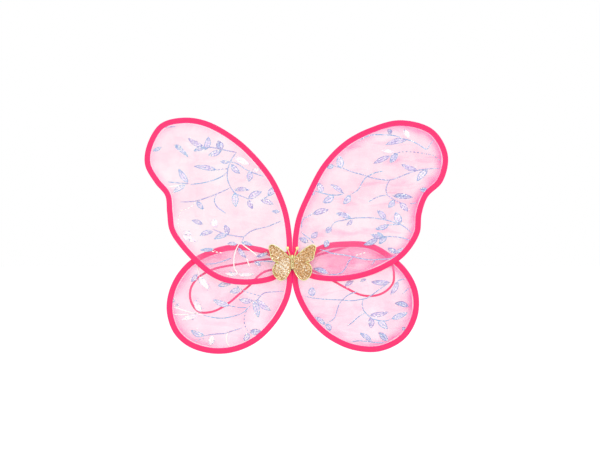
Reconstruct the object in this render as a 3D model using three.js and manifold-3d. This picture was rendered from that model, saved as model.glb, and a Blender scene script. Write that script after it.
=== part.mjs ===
// Fairy wings: four wire loops edged in folded satin binding and filled with sheer printed film,
// gathered on a small back pad, with two elastic arm loops behind and a glitter butterfly in front.
//
// Millimetres. X runs to the right as seen from the decorated front, Y from the front towards the
// wearer's back, Z up. The origin is the middle of the pad's flat rear face, which lies on the back.

import * as THREE from "three";
import { mergeVertices } from "three/addons/utils/BufferGeometryUtils.js";
import Module from "manifold-3d";

const wasm = await Module();
wasm.setup();

// ---------------------------------------------------------------- driving dimensions

const wingSpan = 480; // tip to tip across the upper wings
const wingHeight = 376; // top of the upper wings to the foot of the lower wings
const drawnSpan = 480; // the span and height that the outlines below are drawn at
const drawnHeight = 376;

const fitGap = 0.3; // clearance between pieces that touch

const wireDiameter = 1.8;
const wireClearance = 0.3; // room for the wire inside the fold of the binding
const tapeThickness = 0.4; // one layer of the satin binding
const bindingWidth = 8.5;
const filmThickness = 0.4;
const filmTuck = 1.4; // how far the film's edge stops short of the wire's middle, beyond its radius
const filmRootTrim = 7; // the film ends this far before the ends of the binding

const sleeveLength = 6.4; // crimped sleeve that joins the two ends of a wire loop
const sleeveWall = 0.5;
const wireEndGap = 0.6; // the two wire ends inside the sleeve

const padWidth = 40;
const padHeight = 34;
const padCorner = 9;
const padThickness = 4.8;
const padWall = 0.8; // rear cover
const padPlate = 0.7; // stiff front plate
const legRoom = 2.0; // free depth between the pad and the lower wings, for the legs to turn in
const layerGap = 0.6; // between the lower and the upper wings

const elasticDiameter = 3.6;
const elasticDepth = 3.2; // the elastic's middle lies this far in front of the pad's rear face
const keeperWall = 0.7; // ribbon tunnel that holds the elastic at the pad's edge
const keeperHeight = 4.5;
const keeperDrop = 2; // the keeper's middle lies this far below the origin
const keeperStandOff = 4; // from the pad's edge to the middle of the elastic

const tieWidth = 3.6; // bound thread shank that carries the butterfly
const tieHeight = 5;
const tieDrop = 4.2;

const butterflyGap = 1.2; // free depth between the upper wings and the butterfly
const butterflyPlate = 0.8; // gold backing, and its rim and antennae
const glitterThickness = 0.6;
const rimWidth = 0.9; // backing left showing round the glitter
const bodyWidth = 3.6; // the strip that is sewn down; the lobes bend beside it
const bodyTop = 13;
const bodyBottom = -9.6;
const lobeRaise = THREE.MathUtils.degToRad(12); // how far the lobes stand forward at rest
const antennaWidth = 1.4;
const antennaTipRadius = 2.2;

const foldCornerShare = 0.3; // how round the binding's fold is, as a share of half its thickness
const tieCornerShare = 0.4; // corner radius as a share of the width, for the two narrow plates
const bodyCornerShare = 0.45;

const loopSteps = 54; // stretches along each wire and binding
const elasticSteps = 46;
const cordSides = 8;
const cornerSegments = 6;
const lobeStepsPerPoint = 3; // stretches of the lobe's edge for each point of its outline
const curveDivisions = 600; // how finely a curve's length is measured
const weldDistance = 1e-4; // points nearer than this are one

// ---------------------------------------------------------------- depths of the layers

const bindingThickness = wireDiameter + 2 * (wireClearance + tapeThickness);
const lowerWingY = -(padThickness + legRoom + bindingThickness / 2);
const upperWingY = lowerWingY - bindingThickness - layerGap;
const butterflyY = upperWingY - bindingThickness / 2 - butterflyGap - butterflyPlate / 2;
const wireInset = wireDiameter / 2 + wireClearance + tapeThickness; // outer edge to wire

// ---------------------------------------------------------------- outlines
// Each wing's outer edge as [x, z] points, clockwise from one end of the binding at the centre,
// round the wing and back to the centre. The right wings are bent a little wider than the left.

const outlines = {
  upper_left: [
    [-14, -13], [-27, -26], [-64, -34], [-105, -31], [-135, -17], [-177, 24], [-195, 52],
    [-199, 80], [-202, 107], [-218, 127], [-234, 156], [-231, 187], [-210, 221], [-174, 231],
    [-135, 225], [-85, 196], [-46, 157], [-25, 126], [-8, 84], [-1.4, 46], [-0.45, 28], [-0.45, 2],
  ],
  lower_left: [
    [-0.45, -11], [-0.6, -32], [-6, -58], [-24, -92], [-55, -124], [-92, -141], [-129, -143.5],
    [-166, -132], [-189, -110], [-199.5, -77], [-196, -46], [-182, -17], [-158, 7], [-116, 25],
    [-84, 29], [-38, 21], [-14, 6],
  ],
  upper_right: [
    [0.45, 2], [0.45, 28], [1.2, 42], [7, 73], [22, 109], [48, 157], [83, 193], [124, 215],
    [173, 227], [224, 212], [247, 172], [239, 130], [215, 105], [205.5, 78], [202, 47], [179, 12],
    [148, -9], [112, -23], [70, -29], [29, -24], [14, -13],
  ],
  lower_right: [
    [14, 6], [46, 28], [84, 34], [125, 31], [161, 10], [186, -16], [199.5, -46], [199, -84],
    [179, -120], [140, -140], [97, -138], [59, -121], [32, -97], [14, -70], [4.5, -48],
    [0.6, -30], [0.45, -11],
  ],
};

// The elastic loops' routes as [x, z] points, from the top of the keeper round to its foot.
const elasticRoutes = {
  left: [
    [-25.2, 3.2], [-29, 6], [-37, 6.2], [-80, -1], [-122, -8.7], [-141, -17], [-153, -26],
    [-161, -38], [-163.4, -50], [-161.5, -62], [-155, -73], [-147, -78.6], [-134, -79], [-120, -75],
    [-101, -63.5], [-85, -50], [-67, -34.5], [-56, -22.5], [-46, -15], [-36, -11.6], [-29, -10],
    [-25.2, -7],
  ],
  right: [
    [25, 3.4], [28.5, 7.6], [36.7, 11.4], [56, 16.7], [75, 21.9], [95, 28], [116, 29.5],
    [137, 23.5], [151, 12.5], [159, 0], [162, -16], [161, -31], [153, -42], [140, -50], [124, -52.8],
    [108, -50.5], [85, -39.6], [67, -29.7], [47, -20], [35, -13.6], [28.6, -10], [25.2, -7],
  ],
};

// One half of the butterfly as [x, z] points, from the top of its body round to the foot.
const lobeOutline = [
  [2.2, 7.6], [12.5, 17.6], [22, 25.2], [33, 29.8], [37.6, 26.2], [35.8, 16], [33.2, 6.2],
  [28.6, 2.8], [23, 1.2], [27.4, -1.4], [31, -7], [31, -15], [27, -22.6], [19.4, -27.8],
  [12, -25.8], [5.6, -18], [2.2, -11],
];
const antennaRoute = [
  [3, 6.6], [3.5, 10.6], [4.9, 15.6], [7.8, 23.6],
];
// The glitter is drawn in from the backing's edge towards the middle of the upper or lower lobe.
const upperLobeMiddle = [18, 14];
const lowerLobeMiddle = [18, -13];
const lobeWaist = 2; // the upper lobe is above this height

// ---------------------------------------------------------------- materials

function finish(color, roughness, metalness) {
  return new THREE.MeshStandardMaterial({ color, roughness, metalness });
}

const materials = {
  wire: finish("#9a9da3", 0.4, 0.9),
  sleeve: finish("#b9b4a8", 0.45, 0.8),
  satin: finish("#ff3c82", 0.55, 0),
  film: new THREE.MeshStandardMaterial({
    color: "#fbdce9", roughness: 0.45, metalness: 0, transparent: true, opacity: 0.6,
  }),
  foam: finish("#f4e9ee", 0.95, 0),
  card: finish("#e9c9d6", 0.85, 0),
  elastic: finish("#ff1e69", 0.75, 0),
  thread: finish("#f2447f", 0.8, 0),
  gold: finish("#d8c27a", 0.3, 0.8),
  glitter: finish("#d2aa73", 0.5, 0.6),
};

// ---------------------------------------------------------------- geometry helpers

// A closed geometry as a manifold solid, and a solid back as a geometry.
function toSolid(geometry) {
  const bare = geometry.clone();
  bare.deleteAttribute("normal");
  bare.deleteAttribute("uv");
  const merged = mergeVertices(bare, weldDistance);
  return new wasm.Manifold(
    new wasm.Mesh({
      numProp: 3,
      vertProperties: new Float32Array(merged.attributes.position.array),
      triVerts: new Uint32Array(merged.index.array),
    }),
  );
}

function toGeometry(solid) {
  const mesh = solid.getMesh();
  const geometry = new THREE.BufferGeometry();
  geometry.setAttribute("position", new THREE.BufferAttribute(mesh.vertProperties, 3));
  geometry.setIndex(new THREE.BufferAttribute(mesh.triVerts, 1));
  const flat = geometry.toNonIndexed();
  flat.computeVertexNormals();
  return flat;
}

function joined(first, ...others) {
  return toGeometry(others.reduce((sum, next) => sum.add(toSolid(next)), toSolid(first)));
}

function cut(from, tool) {
  return toGeometry(toSolid(from).subtract(toSolid(tool)));
}

function circle(radius) {
  const shape = new THREE.Shape();
  shape.absarc(0, 0, radius, 0, 2 * Math.PI);
  return shape;
}

function roundedRectangle(width, height, corner) {
  const x = width / 2 - corner;
  const z = height / 2 - corner;
  const shape = new THREE.Shape();
  shape.absarc(x, z, corner, 0, Math.PI / 2);
  shape.absarc(-x, z, corner, Math.PI / 2, Math.PI);
  shape.absarc(-x, -z, corner, Math.PI, 1.5 * Math.PI);
  shape.absarc(x, -z, corner, 1.5 * Math.PI, 2 * Math.PI);
  shape.closePath();
  return shape;
}

// A flat plate standing in the XZ plane, from the depth `back` forward to `back - thickness`.
function standingPlate(shape, thickness, back, curveSegments = cornerSegments) {
  const plate = new THREE.ExtrudeGeometry(shape, {
    depth: thickness,
    bevelEnabled: false,
    curveSegments,
  });
  plate.rotateX(Math.PI / 2);
  plate.translate(0, back, 0);
  return plate;
}

// A curve whose even steps fall on its own points, so that a sweep turns exactly at each of them.
class StationCurve extends THREE.CatmullRomCurve3 {
  getPointAt(u, target) {
    return this.getPoint(u, target);
  }

  getTangentAt(u, target) {
    return this.getTangent(u, target);
  }
}

// A section swept through stations in the XZ plane. The section's x points to the front and its
// y to the right of the direction of travel.
function sweep(section, stations) {
  return new THREE.ExtrudeGeometry(section, {
    steps: stations.length - 1,
    extrudePath: new StationCurve(stations, false, "centripetal"),
    bevelEnabled: false,
  });
}

function roundSection(diameter) {
  const radius = diameter / 2;
  const corners = [];
  for (let side = 0; side < cordSides; side += 1) {
    const angle = (2 * Math.PI * side) / cordSides;
    corners.push(new THREE.Vector2(radius * Math.cos(angle), radius * Math.sin(angle)));
  }
  return new THREE.Shape(corners);
}

function smoothCurve(points) {
  const curve = new THREE.CatmullRomCurve3(points, false, "centripetal");
  curve.arcLengthDivisions = curveDivisions;
  return curve;
}

function scaledPoint([x, z]) {
  return new THREE.Vector3((x * wingSpan) / drawnSpan, 0, (z * wingHeight) / drawnHeight);
}

// Points along a clockwise curve, moved inwards by a distance.
function insetPoints(curve, distance, count) {
  const points = [];
  for (let i = 0; i <= count; i += 1) {
    const point = curve.getPointAt(i / count);
    const along = curve.getTangentAt(i / count);
    points.push(point.add(new THREE.Vector3(along.z, 0, -along.x).multiplyScalar(distance)));
  }
  return points;
}

function named(name, geometry, material) {
  const mesh = new THREE.Mesh(geometry, material);
  mesh.name = name;
  return mesh;
}

// ---------------------------------------------------------------- one wing

// The folded tape: closed round the wire, open towards the film, thinner at its stitched edge.
function bindingSection() {
  const outer = bindingThickness / 2;
  const inner = outer - tapeThickness;
  const slot = filmThickness / 2 + fitGap;
  const fold = -wireInset;
  const shoulder = wireDiameter / 2;
  const edge = bindingWidth - wireInset;
  const softCorner = outer * foldCornerShare;
  const half = [
    [outer - softCorner, fold],
    [outer, fold + softCorner],
    [outer, shoulder],
    [slot + tapeThickness, edge],
    [slot, edge],
    [inner, shoulder],
    [inner, fold + tapeThickness],
  ];
  const corners = half.map(([x, y]) => new THREE.Vector2(x, y));
  const otherSide = half.map(([x, y]) => new THREE.Vector2(-x, y)).reverse();
  return new THREE.Shape([...corners, ...otherSide]);
}

// The ends of the wire meet in the sleeve, half way between the two ends of the binding.
function wireRoute(bound) {
  const first = bound[0];
  const last = bound[bound.length - 1];
  const middle = first.clone().add(last).multiplyScalar(0.5);
  const direction = first.clone().sub(last).normalize();
  const step = (distance) => middle.clone().addScaledVector(direction, distance);
  const straight = sleeveLength / 2 + wireDiameter / 2;
  return {
    middle,
    direction,
    stations: [
      step(wireEndGap / 2), step(straight), ...bound, step(-straight), step(-wireEndGap / 2),
    ],
  };
}

function sleeve(route) {
  const bore = wireDiameter / 2 + fitGap;
  const ring = circle(bore + sleeveWall);
  ring.holes.push(circle(bore));
  const geometry = new THREE.ExtrudeGeometry(ring, {
    depth: sleeveLength,
    bevelEnabled: false,
    curveSegments: cordSides,
  });
  geometry.translate(0, 0, -sleeveLength / 2);
  const up = new THREE.Vector3(0, 0, 1);
  geometry.applyQuaternion(new THREE.Quaternion().setFromUnitVectors(up, route.direction));
  geometry.translate(route.middle.x, 0, route.middle.z);
  return geometry;
}

// The film fills the loop: its edge is tucked into the fold, and it ends short of the root.
function film(boundCurve) {
  const distance = wireDiameter / 2 + filmTuck;
  const trim = filmRootTrim / boundCurve.getLength();
  const corners = [];
  insetPoints(boundCurve, distance, loopSteps).forEach((point, i) => {
    const along = i / loopSteps;
    if (along > trim && along < 1 - trim) {
      corners.push(new THREE.Vector2(point.x, point.z));
    }
  });
  const shape = new THREE.Shape(corners);
  return standingPlate(shape, filmThickness, filmThickness / 2);
}

function wing(name, outline, depth) {
  const outerEdge = smoothCurve(outline.map(scaledPoint));
  const bound = insetPoints(outerEdge, wireInset, loopSteps);
  const boundCurve = smoothCurve(bound);
  const route = wireRoute(bound);
  const group = new THREE.Group();
  group.position.y = depth;
  group.add(
    named(`${name}_wing_wire`, sweep(roundSection(wireDiameter), route.stations), materials.wire),
    named(`${name}_wing_wire_sleeve`, sleeve(route), materials.sleeve),
    named(`${name}_wing_binding`, sweep(bindingSection(), bound), materials.satin),
    named(`${name}_wing_film`, film(boundCurve), materials.film),
  );
  return group;
}

// ---------------------------------------------------------------- back pad

function backPad() {
  const group = new THREE.Group();
  const outline = roundedRectangle(padWidth, padHeight, padCorner);
  const coverDepth = padThickness - padPlate - fitGap;
  const pocketWidth = padWidth - 2 * padWall;
  const pocketHeight = padHeight - 2 * padWall;
  const pocket = roundedRectangle(pocketWidth, pocketHeight, padCorner - padWall);
  const cover = cut(
    standingPlate(outline, coverDepth, 0),
    standingPlate(pocket, padThickness, -padWall),
  );
  const foamOutline = roundedRectangle(
    pocketWidth - 2 * fitGap,
    pocketHeight - 2 * fitGap,
    padCorner - padWall - fitGap,
  );
  const foamThickness = coverDepth - padWall - fitGap;
  const foam = standingPlate(foamOutline, foamThickness, -padWall - fitGap);
  const plate = standingPlate(outline, padPlate, padPlate - padThickness);
  group.add(
    named("back_pad_rear_cover", cover, materials.satin),
    named("back_pad_foam", foam, materials.foam),
    named("back_pad_front_plate", plate, materials.card),
  );
  return group;
}

// The bound thread shank between the pad and the butterfly.
function centreTie() {
  const back = -padThickness - fitGap;
  const front = butterflyY + butterflyPlate / 2 + fitGap;
  const geometry = standingPlate(
    roundedRectangle(tieWidth, tieHeight, tieWidth * tieCornerShare),
    back - front,
    back,
  );
  geometry.translate(0, 0, -tieDrop);
  return named("centre_tie", geometry, materials.thread);
}

// ---------------------------------------------------------------- arm loops

const elasticX = padWidth / 2 + keeperStandOff;

function keeper(name, side) {
  const bore = elasticDiameter / 2 + fitGap;
  const outer = bore + keeperWall;
  const flat = side * (padWidth / 2 + fitGap);
  const shape = new THREE.Shape();
  shape.moveTo(flat, -outer);
  shape.lineTo(side * elasticX, -outer);
  shape.absarc(side * elasticX, 0, outer, -Math.PI / 2, Math.PI / 2, side < 0);
  shape.lineTo(flat, outer);
  shape.closePath();
  const hole = new THREE.Path();
  hole.absarc(side * elasticX, 0, bore, 0, 2 * Math.PI);
  shape.holes.push(hole);
  const geometry = new THREE.ExtrudeGeometry(shape, {
    depth: keeperHeight,
    bevelEnabled: false,
    curveSegments: 2 * cornerSegments,
  });
  geometry.translate(0, -elasticDepth, -keeperDrop - keeperHeight / 2);
  return named(`${name}_arm_loop_keeper`, geometry, materials.satin);
}

// One closed loop of elastic through the keeper; its two sewn ends meet inside it.
function armLoop(name, side, route) {
  const inKeeper = (z) => new THREE.Vector3(side * elasticX, 0, z - keeperDrop);
  const free = smoothCurve(route.map(([x, z]) => new THREE.Vector3(x, 0, z)));
  const stations = [
    inKeeper(wireEndGap / 2),
    inKeeper(keeperHeight / 2),
    ...free.getSpacedPoints(elasticSteps),
    inKeeper(-keeperHeight / 2),
    inKeeper(-wireEndGap / 2),
  ];
  const mesh = named(
    `${name}_arm_loop`,
    sweep(roundSection(elasticDiameter), stations),
    materials.elastic,
  );
  mesh.position.y = -elasticDepth;
  return mesh;
}

// ---------------------------------------------------------------- butterfly

function butterflyBody() {
  const height = bodyTop - bodyBottom;
  const strip = standingPlate(
    roundedRectangle(bodyWidth, height, bodyWidth * bodyCornerShare),
    butterflyPlate,
    butterflyY + butterflyPlate / 2,
  );
  strip.translate(0, 0, (bodyTop + bodyBottom) / 2);
  const glitterWidth = bodyWidth - rimWidth;
  const glitter = standingPlate(
    roundedRectangle(glitterWidth, height - 2 * rimWidth, glitterWidth * bodyCornerShare),
    glitterThickness,
    butterflyY - butterflyPlate / 2 - fitGap,
  );
  glitter.translate(0, 0, (bodyTop + bodyBottom) / 2);
  const group = new THREE.Group();
  group.add(
    named("butterfly_body_backing", strip, materials.gold),
    named("butterfly_body_glitter", glitter, materials.glitter),
  );
  return group;
}

// A lobe is drawn flat from its bend line outwards, then stands forward by its raise.
function butterflyLobe(name, side) {
  const bendLine = bodyWidth / 2 + fitGap;
  const flattened = ([x, z]) => new THREE.Vector2((side * (x - bendLine)) / Math.cos(lobeRaise), z);
  const inwards = ([x, z], inset) => {
    const middle = z > lobeWaist ? upperLobeMiddle : lowerLobeMiddle;
    const away = Math.hypot(x - middle[0], z - middle[1]);
    const share = 1 - inset / away;
    return [middle[0] + (x - middle[0]) * share, middle[1] + (z - middle[1]) * share];
  };
  const smoothShape = (points) => {
    const curve = new THREE.SplineCurve(points.map(flattened));
    return new THREE.Shape(curve.getPoints(lobeStepsPerPoint * points.length));
  };
  const edge = smoothShape(lobeOutline);
  const glitterEdge = smoothShape(lobeOutline.map((point) => inwards(point, rimWidth)));
  const antenna = smoothCurve(
    antennaRoute.map(flattened).map((point) => new THREE.Vector3(point.x, 0, point.y)),
  );
  const halfWide = antennaWidth / 2;
  const halfThick = butterflyPlate / 2;
  const antennaSection = new THREE.Shape([
    new THREE.Vector2(-halfThick, -halfWide),
    new THREE.Vector2(halfThick, -halfWide),
    new THREE.Vector2(halfThick, halfWide),
    new THREE.Vector2(-halfThick, halfWide),
  ]);
  const tip = standingPlate(circle(antennaTipRadius), butterflyPlate, halfThick);
  const tipPlace = flattened(antennaRoute[antennaRoute.length - 1]);
  tip.translate(tipPlace.x, 0, tipPlace.y);
  const backing = joined(
    standingPlate(edge, butterflyPlate, halfThick),
    sweep(antennaSection, antenna.getSpacedPoints(cornerSegments)),
    tip,
  );
  const glitter = standingPlate(glitterEdge, glitterThickness, -halfThick - fitGap);
  const group = new THREE.Group();
  group.position.set(side * bendLine, butterflyY, 0);
  group.rotation.z = -side * lobeRaise;
  group.add(
    named(`butterfly_${name}_lobe_backing`, backing, materials.gold),
    named(`butterfly_${name}_lobe_glitter`, glitter, materials.glitter),
  );
  return group;
}

// ---------------------------------------------------------------- the whole object

const fairyWings = new THREE.Group();
fairyWings.add(
  backPad(),
  centreTie(),
  wing("left_upper", outlines.upper_left, upperWingY),
  wing("right_upper", outlines.upper_right, upperWingY),
  wing("left_lower", outlines.lower_left, lowerWingY),
  wing("right_lower", outlines.lower_right, lowerWingY),
  keeper("left", -1),
  keeper("right", 1),
  armLoop("left", -1, elasticRoutes.left),
  armLoop("right", 1, elasticRoutes.right),
  butterflyBody(),
  butterflyLobe("left", -1),
  butterflyLobe("right", 1),
);

export default fairyWings;
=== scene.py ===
# %% [markdown]
# # Fairy wings
#
# Four wire loops edged in folded satin tape, each filled with sheer film that carries a foil print of
# vines and leaves. They meet on a small back pad with two elastic arm loops, and a glitter butterfly
# covers the place where they meet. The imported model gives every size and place: it is loaded first,
# and each finer piece is made round it, in metres. X runs to the right, Y away from the decorated
# front, Z up.

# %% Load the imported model
import math
import random

import bmesh
import bpy
from mathutils import Matrix, Vector, kdtree, noise
from mathutils.bvhtree import BVHTree


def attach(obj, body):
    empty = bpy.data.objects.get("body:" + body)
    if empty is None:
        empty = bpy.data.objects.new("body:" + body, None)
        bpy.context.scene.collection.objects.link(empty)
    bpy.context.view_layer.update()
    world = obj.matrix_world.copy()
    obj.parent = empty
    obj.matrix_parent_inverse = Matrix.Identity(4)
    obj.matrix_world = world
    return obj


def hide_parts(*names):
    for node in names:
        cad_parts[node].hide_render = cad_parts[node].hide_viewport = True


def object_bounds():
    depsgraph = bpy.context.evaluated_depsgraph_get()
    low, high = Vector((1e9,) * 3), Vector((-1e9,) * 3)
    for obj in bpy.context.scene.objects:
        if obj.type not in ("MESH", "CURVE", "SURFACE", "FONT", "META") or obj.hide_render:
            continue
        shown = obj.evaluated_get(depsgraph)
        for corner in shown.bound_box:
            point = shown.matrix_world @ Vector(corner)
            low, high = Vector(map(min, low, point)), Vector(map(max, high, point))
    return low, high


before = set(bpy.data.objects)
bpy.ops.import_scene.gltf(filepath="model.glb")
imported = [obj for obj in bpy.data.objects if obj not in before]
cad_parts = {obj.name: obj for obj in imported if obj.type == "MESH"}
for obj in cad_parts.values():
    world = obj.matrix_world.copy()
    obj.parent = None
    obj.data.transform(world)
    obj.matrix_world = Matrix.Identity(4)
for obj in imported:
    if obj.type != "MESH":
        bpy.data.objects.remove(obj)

MM = 0.001
cad_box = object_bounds()
print("packed model:", [tuple(round(c / MM, 1) for c in corner) for corner in cad_box], "mm")

# %% [markdown]
# ## Camera
#
# The wings are looked at straight on, from far enough away that near and far layers keep nearly the
# same scale. A long lens does that. The camera sits a little above the middle of the object.

# %% The camera
LENS = 100
SENSOR = 36
CAMERA_PLACE = (0.0122, -2.663, 0.0398)

camera_data = bpy.data.cameras.new("camera")
camera_data.lens = LENS
camera_data.sensor_width = SENSOR
camera = bpy.data.objects.new("camera", camera_data)
camera.location = CAMERA_PLACE
camera.rotation_euler = (math.radians(90), 0, 0)
bpy.context.scene.collection.objects.link(camera)
bpy.context.scene.camera = camera
print("camera", CAMERA_PLACE)

# %% [markdown]
# ## Routes
#
# Tape, wire, elastic and vines all follow a line. A line is given as a few chosen points, and a
# smooth curve runs through them. The curve is then walked in even steps, so that weave and stitches
# keep one size all the way round.

# %% A smooth route through a few points
STEPS_BETWEEN = 24


def evenly_spaced(line, spacing):
    """The same line, walked in equal steps of about the spacing."""
    lengths = [(b - a).length for a, b in zip(line, line[1:])]
    count = max(1, round(sum(lengths) / spacing))
    step = sum(lengths) / count
    stations = [line[0]]
    walked = 0.0
    for a, b, length in zip(line, line[1:], lengths):
        while len(stations) < count and walked + length >= step * len(stations):
            stations.append(a.lerp(b, (step * len(stations) - walked) / length))
        walked += length
    return stations + [line[-1]]


def smooth_route(points, spacing):
    """A centripetal curve through the points, which neither loops nor overshoots."""
    points = [Vector(p) for p in points]
    chain = [points[0] * 2 - points[1], *points, points[-1] * 2 - points[-2]]
    line = []
    for a, b, c, d in zip(chain, chain[1:], chain[2:], chain[3:]):
        before, here, after = (math.sqrt((q - p).length) for p, q in ((a, b), (b, c), (c, d)))
        leave = ((b - a) / before - (c - a) / (before + here) + (c - b) / here) * here
        arrive = ((c - b) / here - (d - b) / (here + after) + (d - c) / after) * here
        for i in range(STEPS_BETWEEN):
            t = i / STEPS_BETWEEN
            line.append(
                b * (2 * t**3 - 3 * t**2 + 1)
                + c * (3 * t**2 - 2 * t**3)
                + leave * (t**3 - 2 * t**2 + t)
                + arrive * (t**3 - t**2)
            )
    return evenly_spaced(line + [points[-1]], spacing)


def direction_at(route, i):
    """The way the route runs at station i."""
    return (route[min(i + 1, len(route) - 1)] - route[max(i - 1, 0)]).normalized()


def length_of(route):
    return sum((b - a).length for a, b in zip(route, route[1:]))


def to_the_right(way):
    """The flat direction at a right angle to this one: inwards, on a clockwise route."""
    return Vector((way.y, -way.x))


def moved_in(route, distance):
    """A flat clockwise route of (x, z) points, moved towards its inside."""
    return [p + to_the_right(direction_at(route, i)) * distance for i, p in enumerate(route)]


def at(flat, depth=0.0):
    """A flat (x, z) point in millimetres, as a place in metres at that depth."""
    return Vector((flat.x, depth, flat.y)) * MM


# %% [markdown]
# ## Laying a grid
#
# Tape, film and elastic start as flat cloth, so each of them starts here as a flat grid too. Every
# point of the grid is then laid where that bit of cloth goes: round the wire, across the loop or
# round the core of the elastic. The grid brings its own UV map, which is scaled to centimetres, so a
# weave drawn on it has its true size and follows the cloth.

# %% Helpers that start, lay and finish a piece
CM = 0.01
JOIN_GAP = 0.01 * MM
SIDES = {"left": -1, "right": 1}


def new_mesh():
    """An empty bmesh with a UV map for the cloth and a tone for printed work."""
    bm = bmesh.new()
    bm.loops.layers.uv.new("cloth")
    bm.verts.layers.float.new("tone")
    return bm


def lay(bm, along, across, place, size=(CM, CM), tone=0.0):
    """Lays a flat grid: place(u, v) says where the point at those shares of it goes."""
    cloth = bm.loops.layers.uv["cloth"]
    tones = bm.verts.layers.float["tone"]
    grid = bmesh.ops.create_grid(bm, x_segments=along, y_segments=across, size=0.5, calc_uvs=True)
    faces = {face for vertex in grid["verts"] for face in vertex.link_faces}
    for face in faces:
        for loop in face.loops:
            loop[cloth].uv.x *= size[0] / CM
            loop[cloth].uv.y *= size[1] / CM
    for vertex in grid["verts"]:
        vertex.co = place(vertex.co.x + 0.5, vertex.co.y + 0.5)
        vertex[tones] = tone
    return grid["verts"]


def close_up(bm, capped=False):
    """Joins the edges that meet, turns every face outwards, and may close the open ends."""
    bmesh.ops.remove_doubles(bm, verts=bm.verts, dist=JOIN_GAP)
    bmesh.ops.recalc_face_normals(bm, faces=bm.faces)
    if capped:
        bmesh.ops.holes_fill(bm, edges=[e for e in bm.edges if e.is_boundary], sides=0)


def piece(name, bm, material, body, smooth=True):
    """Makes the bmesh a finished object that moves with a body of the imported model."""
    for face in bm.faces:
        face.smooth = smooth
    mesh = bpy.data.meshes.new(name)
    bm.to_mesh(mesh)
    bm.free()
    made = bpy.data.objects.new(name, mesh)
    bpy.context.scene.collection.objects.link(made)
    mesh.materials.append(material)
    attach(made, body)
    print(f"{name}: {len(mesh.polygons)} faces")
    return made


def thicken(made, thickness, offset):
    """Gives a laid sheet its thickness, with a rim all round."""
    solid = made.modifiers.new("thickness", "SOLIDIFY")
    solid.thickness = thickness
    solid.offset = offset


# %% [markdown]
# ## Effects that several finishes share
#
# Satin, elastic and thread all have a weave, and every material here is a little uneven in colour.
# Such an effect is built once as a node group with named inputs and outputs, and each material sets
# its own values on it. The shader itself stays in each material.

# %% Helpers for nodes
def add_node(tree, kind, inputs=None, **settings):
    """Adds a node, sets its properties, and fills or links its inputs. A colour needs no alpha."""
    made = tree.nodes.new("ShaderNode" + kind)
    for key, value in settings.items():
        setattr(made, key, value)
    for key, value in (inputs or {}).items():
        socket = made.inputs[key]
        if isinstance(value, bpy.types.NodeSocket):
            tree.links.new(value, socket)
        elif socket.type == "RGBA":
            socket.default_value = (*value, 1)
        else:
            socket.default_value = value
    return made


def math_node(tree, operation, first, second=0.0, *more):
    """Combines the values, two at a time."""
    made = add_node(tree, "Math", {0: first, 1: second}, operation=operation).outputs[0]
    return math_node(tree, operation, made, *more) if more else made


def spread(tree, value, low=0.0, high=1.0, to_low=0.0, to_high=1.0):
    """A value that runs from low to high, spread over another range and held inside it."""
    return add_node(tree, "MapRange", {
        "Value": value, "From Min": low, "From Max": high, "To Min": to_low, "To Max": to_high,
    }).outputs[0]


def mix(tree, share, first, second):
    """The first colour, with a share of the second mixed in."""
    return add_node(tree, "MixRGB", {"Fac": share, "Color1": first, "Color2": second}).outputs[0]


def clouds(tree, place, scale, detail=2.0, roughness=0.5, distortion=0.0):
    """Soft random clouds between 0 and 1."""
    return add_node(tree, "TexNoise", {
        "Vector": place, "Scale": scale, "Detail": detail, "Roughness": roughness,
        "Distortion": distortion,
    }).outputs["Fac"]


def shared_group(name, inputs, outputs):
    """A new node group with named sockets, and its two end nodes."""
    tree = bpy.data.node_groups.new(name, "ShaderNodeTree")
    for label, kind, value in inputs:
        socket = tree.interface.new_socket(label, in_out="INPUT", socket_type="NodeSocket" + kind)
        if value is not None:
            socket.default_value = value
    for label, kind in outputs:
        tree.interface.new_socket(label, in_out="OUTPUT", socket_type="NodeSocket" + kind)
    start, end = tree.nodes.new("NodeGroupInput"), tree.nodes.new("NodeGroupOutput")
    return tree, start.outputs, end.inputs


# %% The shared groups
def weave_group():
    """Two crossed sets of threads: Height rises on each thread, and Thread is 1 on a thread's top and
    0 between threads, where the materials paint shade.
    """
    tree, given, gives = shared_group(
        "cloth weave",
        [("Cloth", "Vector", None), ("Threads per cm", "Float", 30.0), ("Slant", "Float", 0.6)],
        [("Height", "Float"), ("Thread", "Float")],
    )
    parts = add_node(tree, "SeparateXYZ", {0: given["Cloth"]}).outputs
    turns = math_node(tree, "MULTIPLY", given["Threads per cm"], math.tau / 2)
    run = math_node(tree, "MULTIPLY", parts[0], turns)
    rise = math_node(tree, "MULTIPLY", parts[1], turns)
    lean = math_node(tree, "MULTIPLY", rise, given["Slant"])
    warp = math_node(tree, "SINE", math_node(tree, "ADD", run, lean))
    weft = math_node(tree, "SINE", math_node(tree, "SUBTRACT", rise, lean))
    height = math_node(tree, "MAXIMUM", warp, math_node(tree, "MULTIPLY", weft, 0.7))
    tree.links.new(height, gives["Height"])
    tree.links.new(spread(tree, height, -0.4, 1.0), gives["Thread"])
    return tree


def uneven_group():
    """Soft cloudy variation between two colours, as dye and handling leave."""
    white = (1, 1, 1, 1)
    tree, given, gives = shared_group(
        "uneven colour",
        [("Place", "Vector", None), ("Patches per m", "Float", 40.0), ("Main", "Color", white),
         ("Other", "Color", white), ("Amount", "Float", 0.5)],
        [("Color", "Color"), ("Patch", "Float")],
    )
    patch = spread(tree, clouds(tree, given["Place"], given["Patches per m"], 3.0, 0.55), 0.35, 0.68)
    share = math_node(tree, "MULTIPLY", patch, given["Amount"])
    tree.links.new(mix(tree, share, given["Main"], given["Other"]), gives["Color"])
    tree.links.new(patch, gives["Patch"])
    return tree


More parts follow.
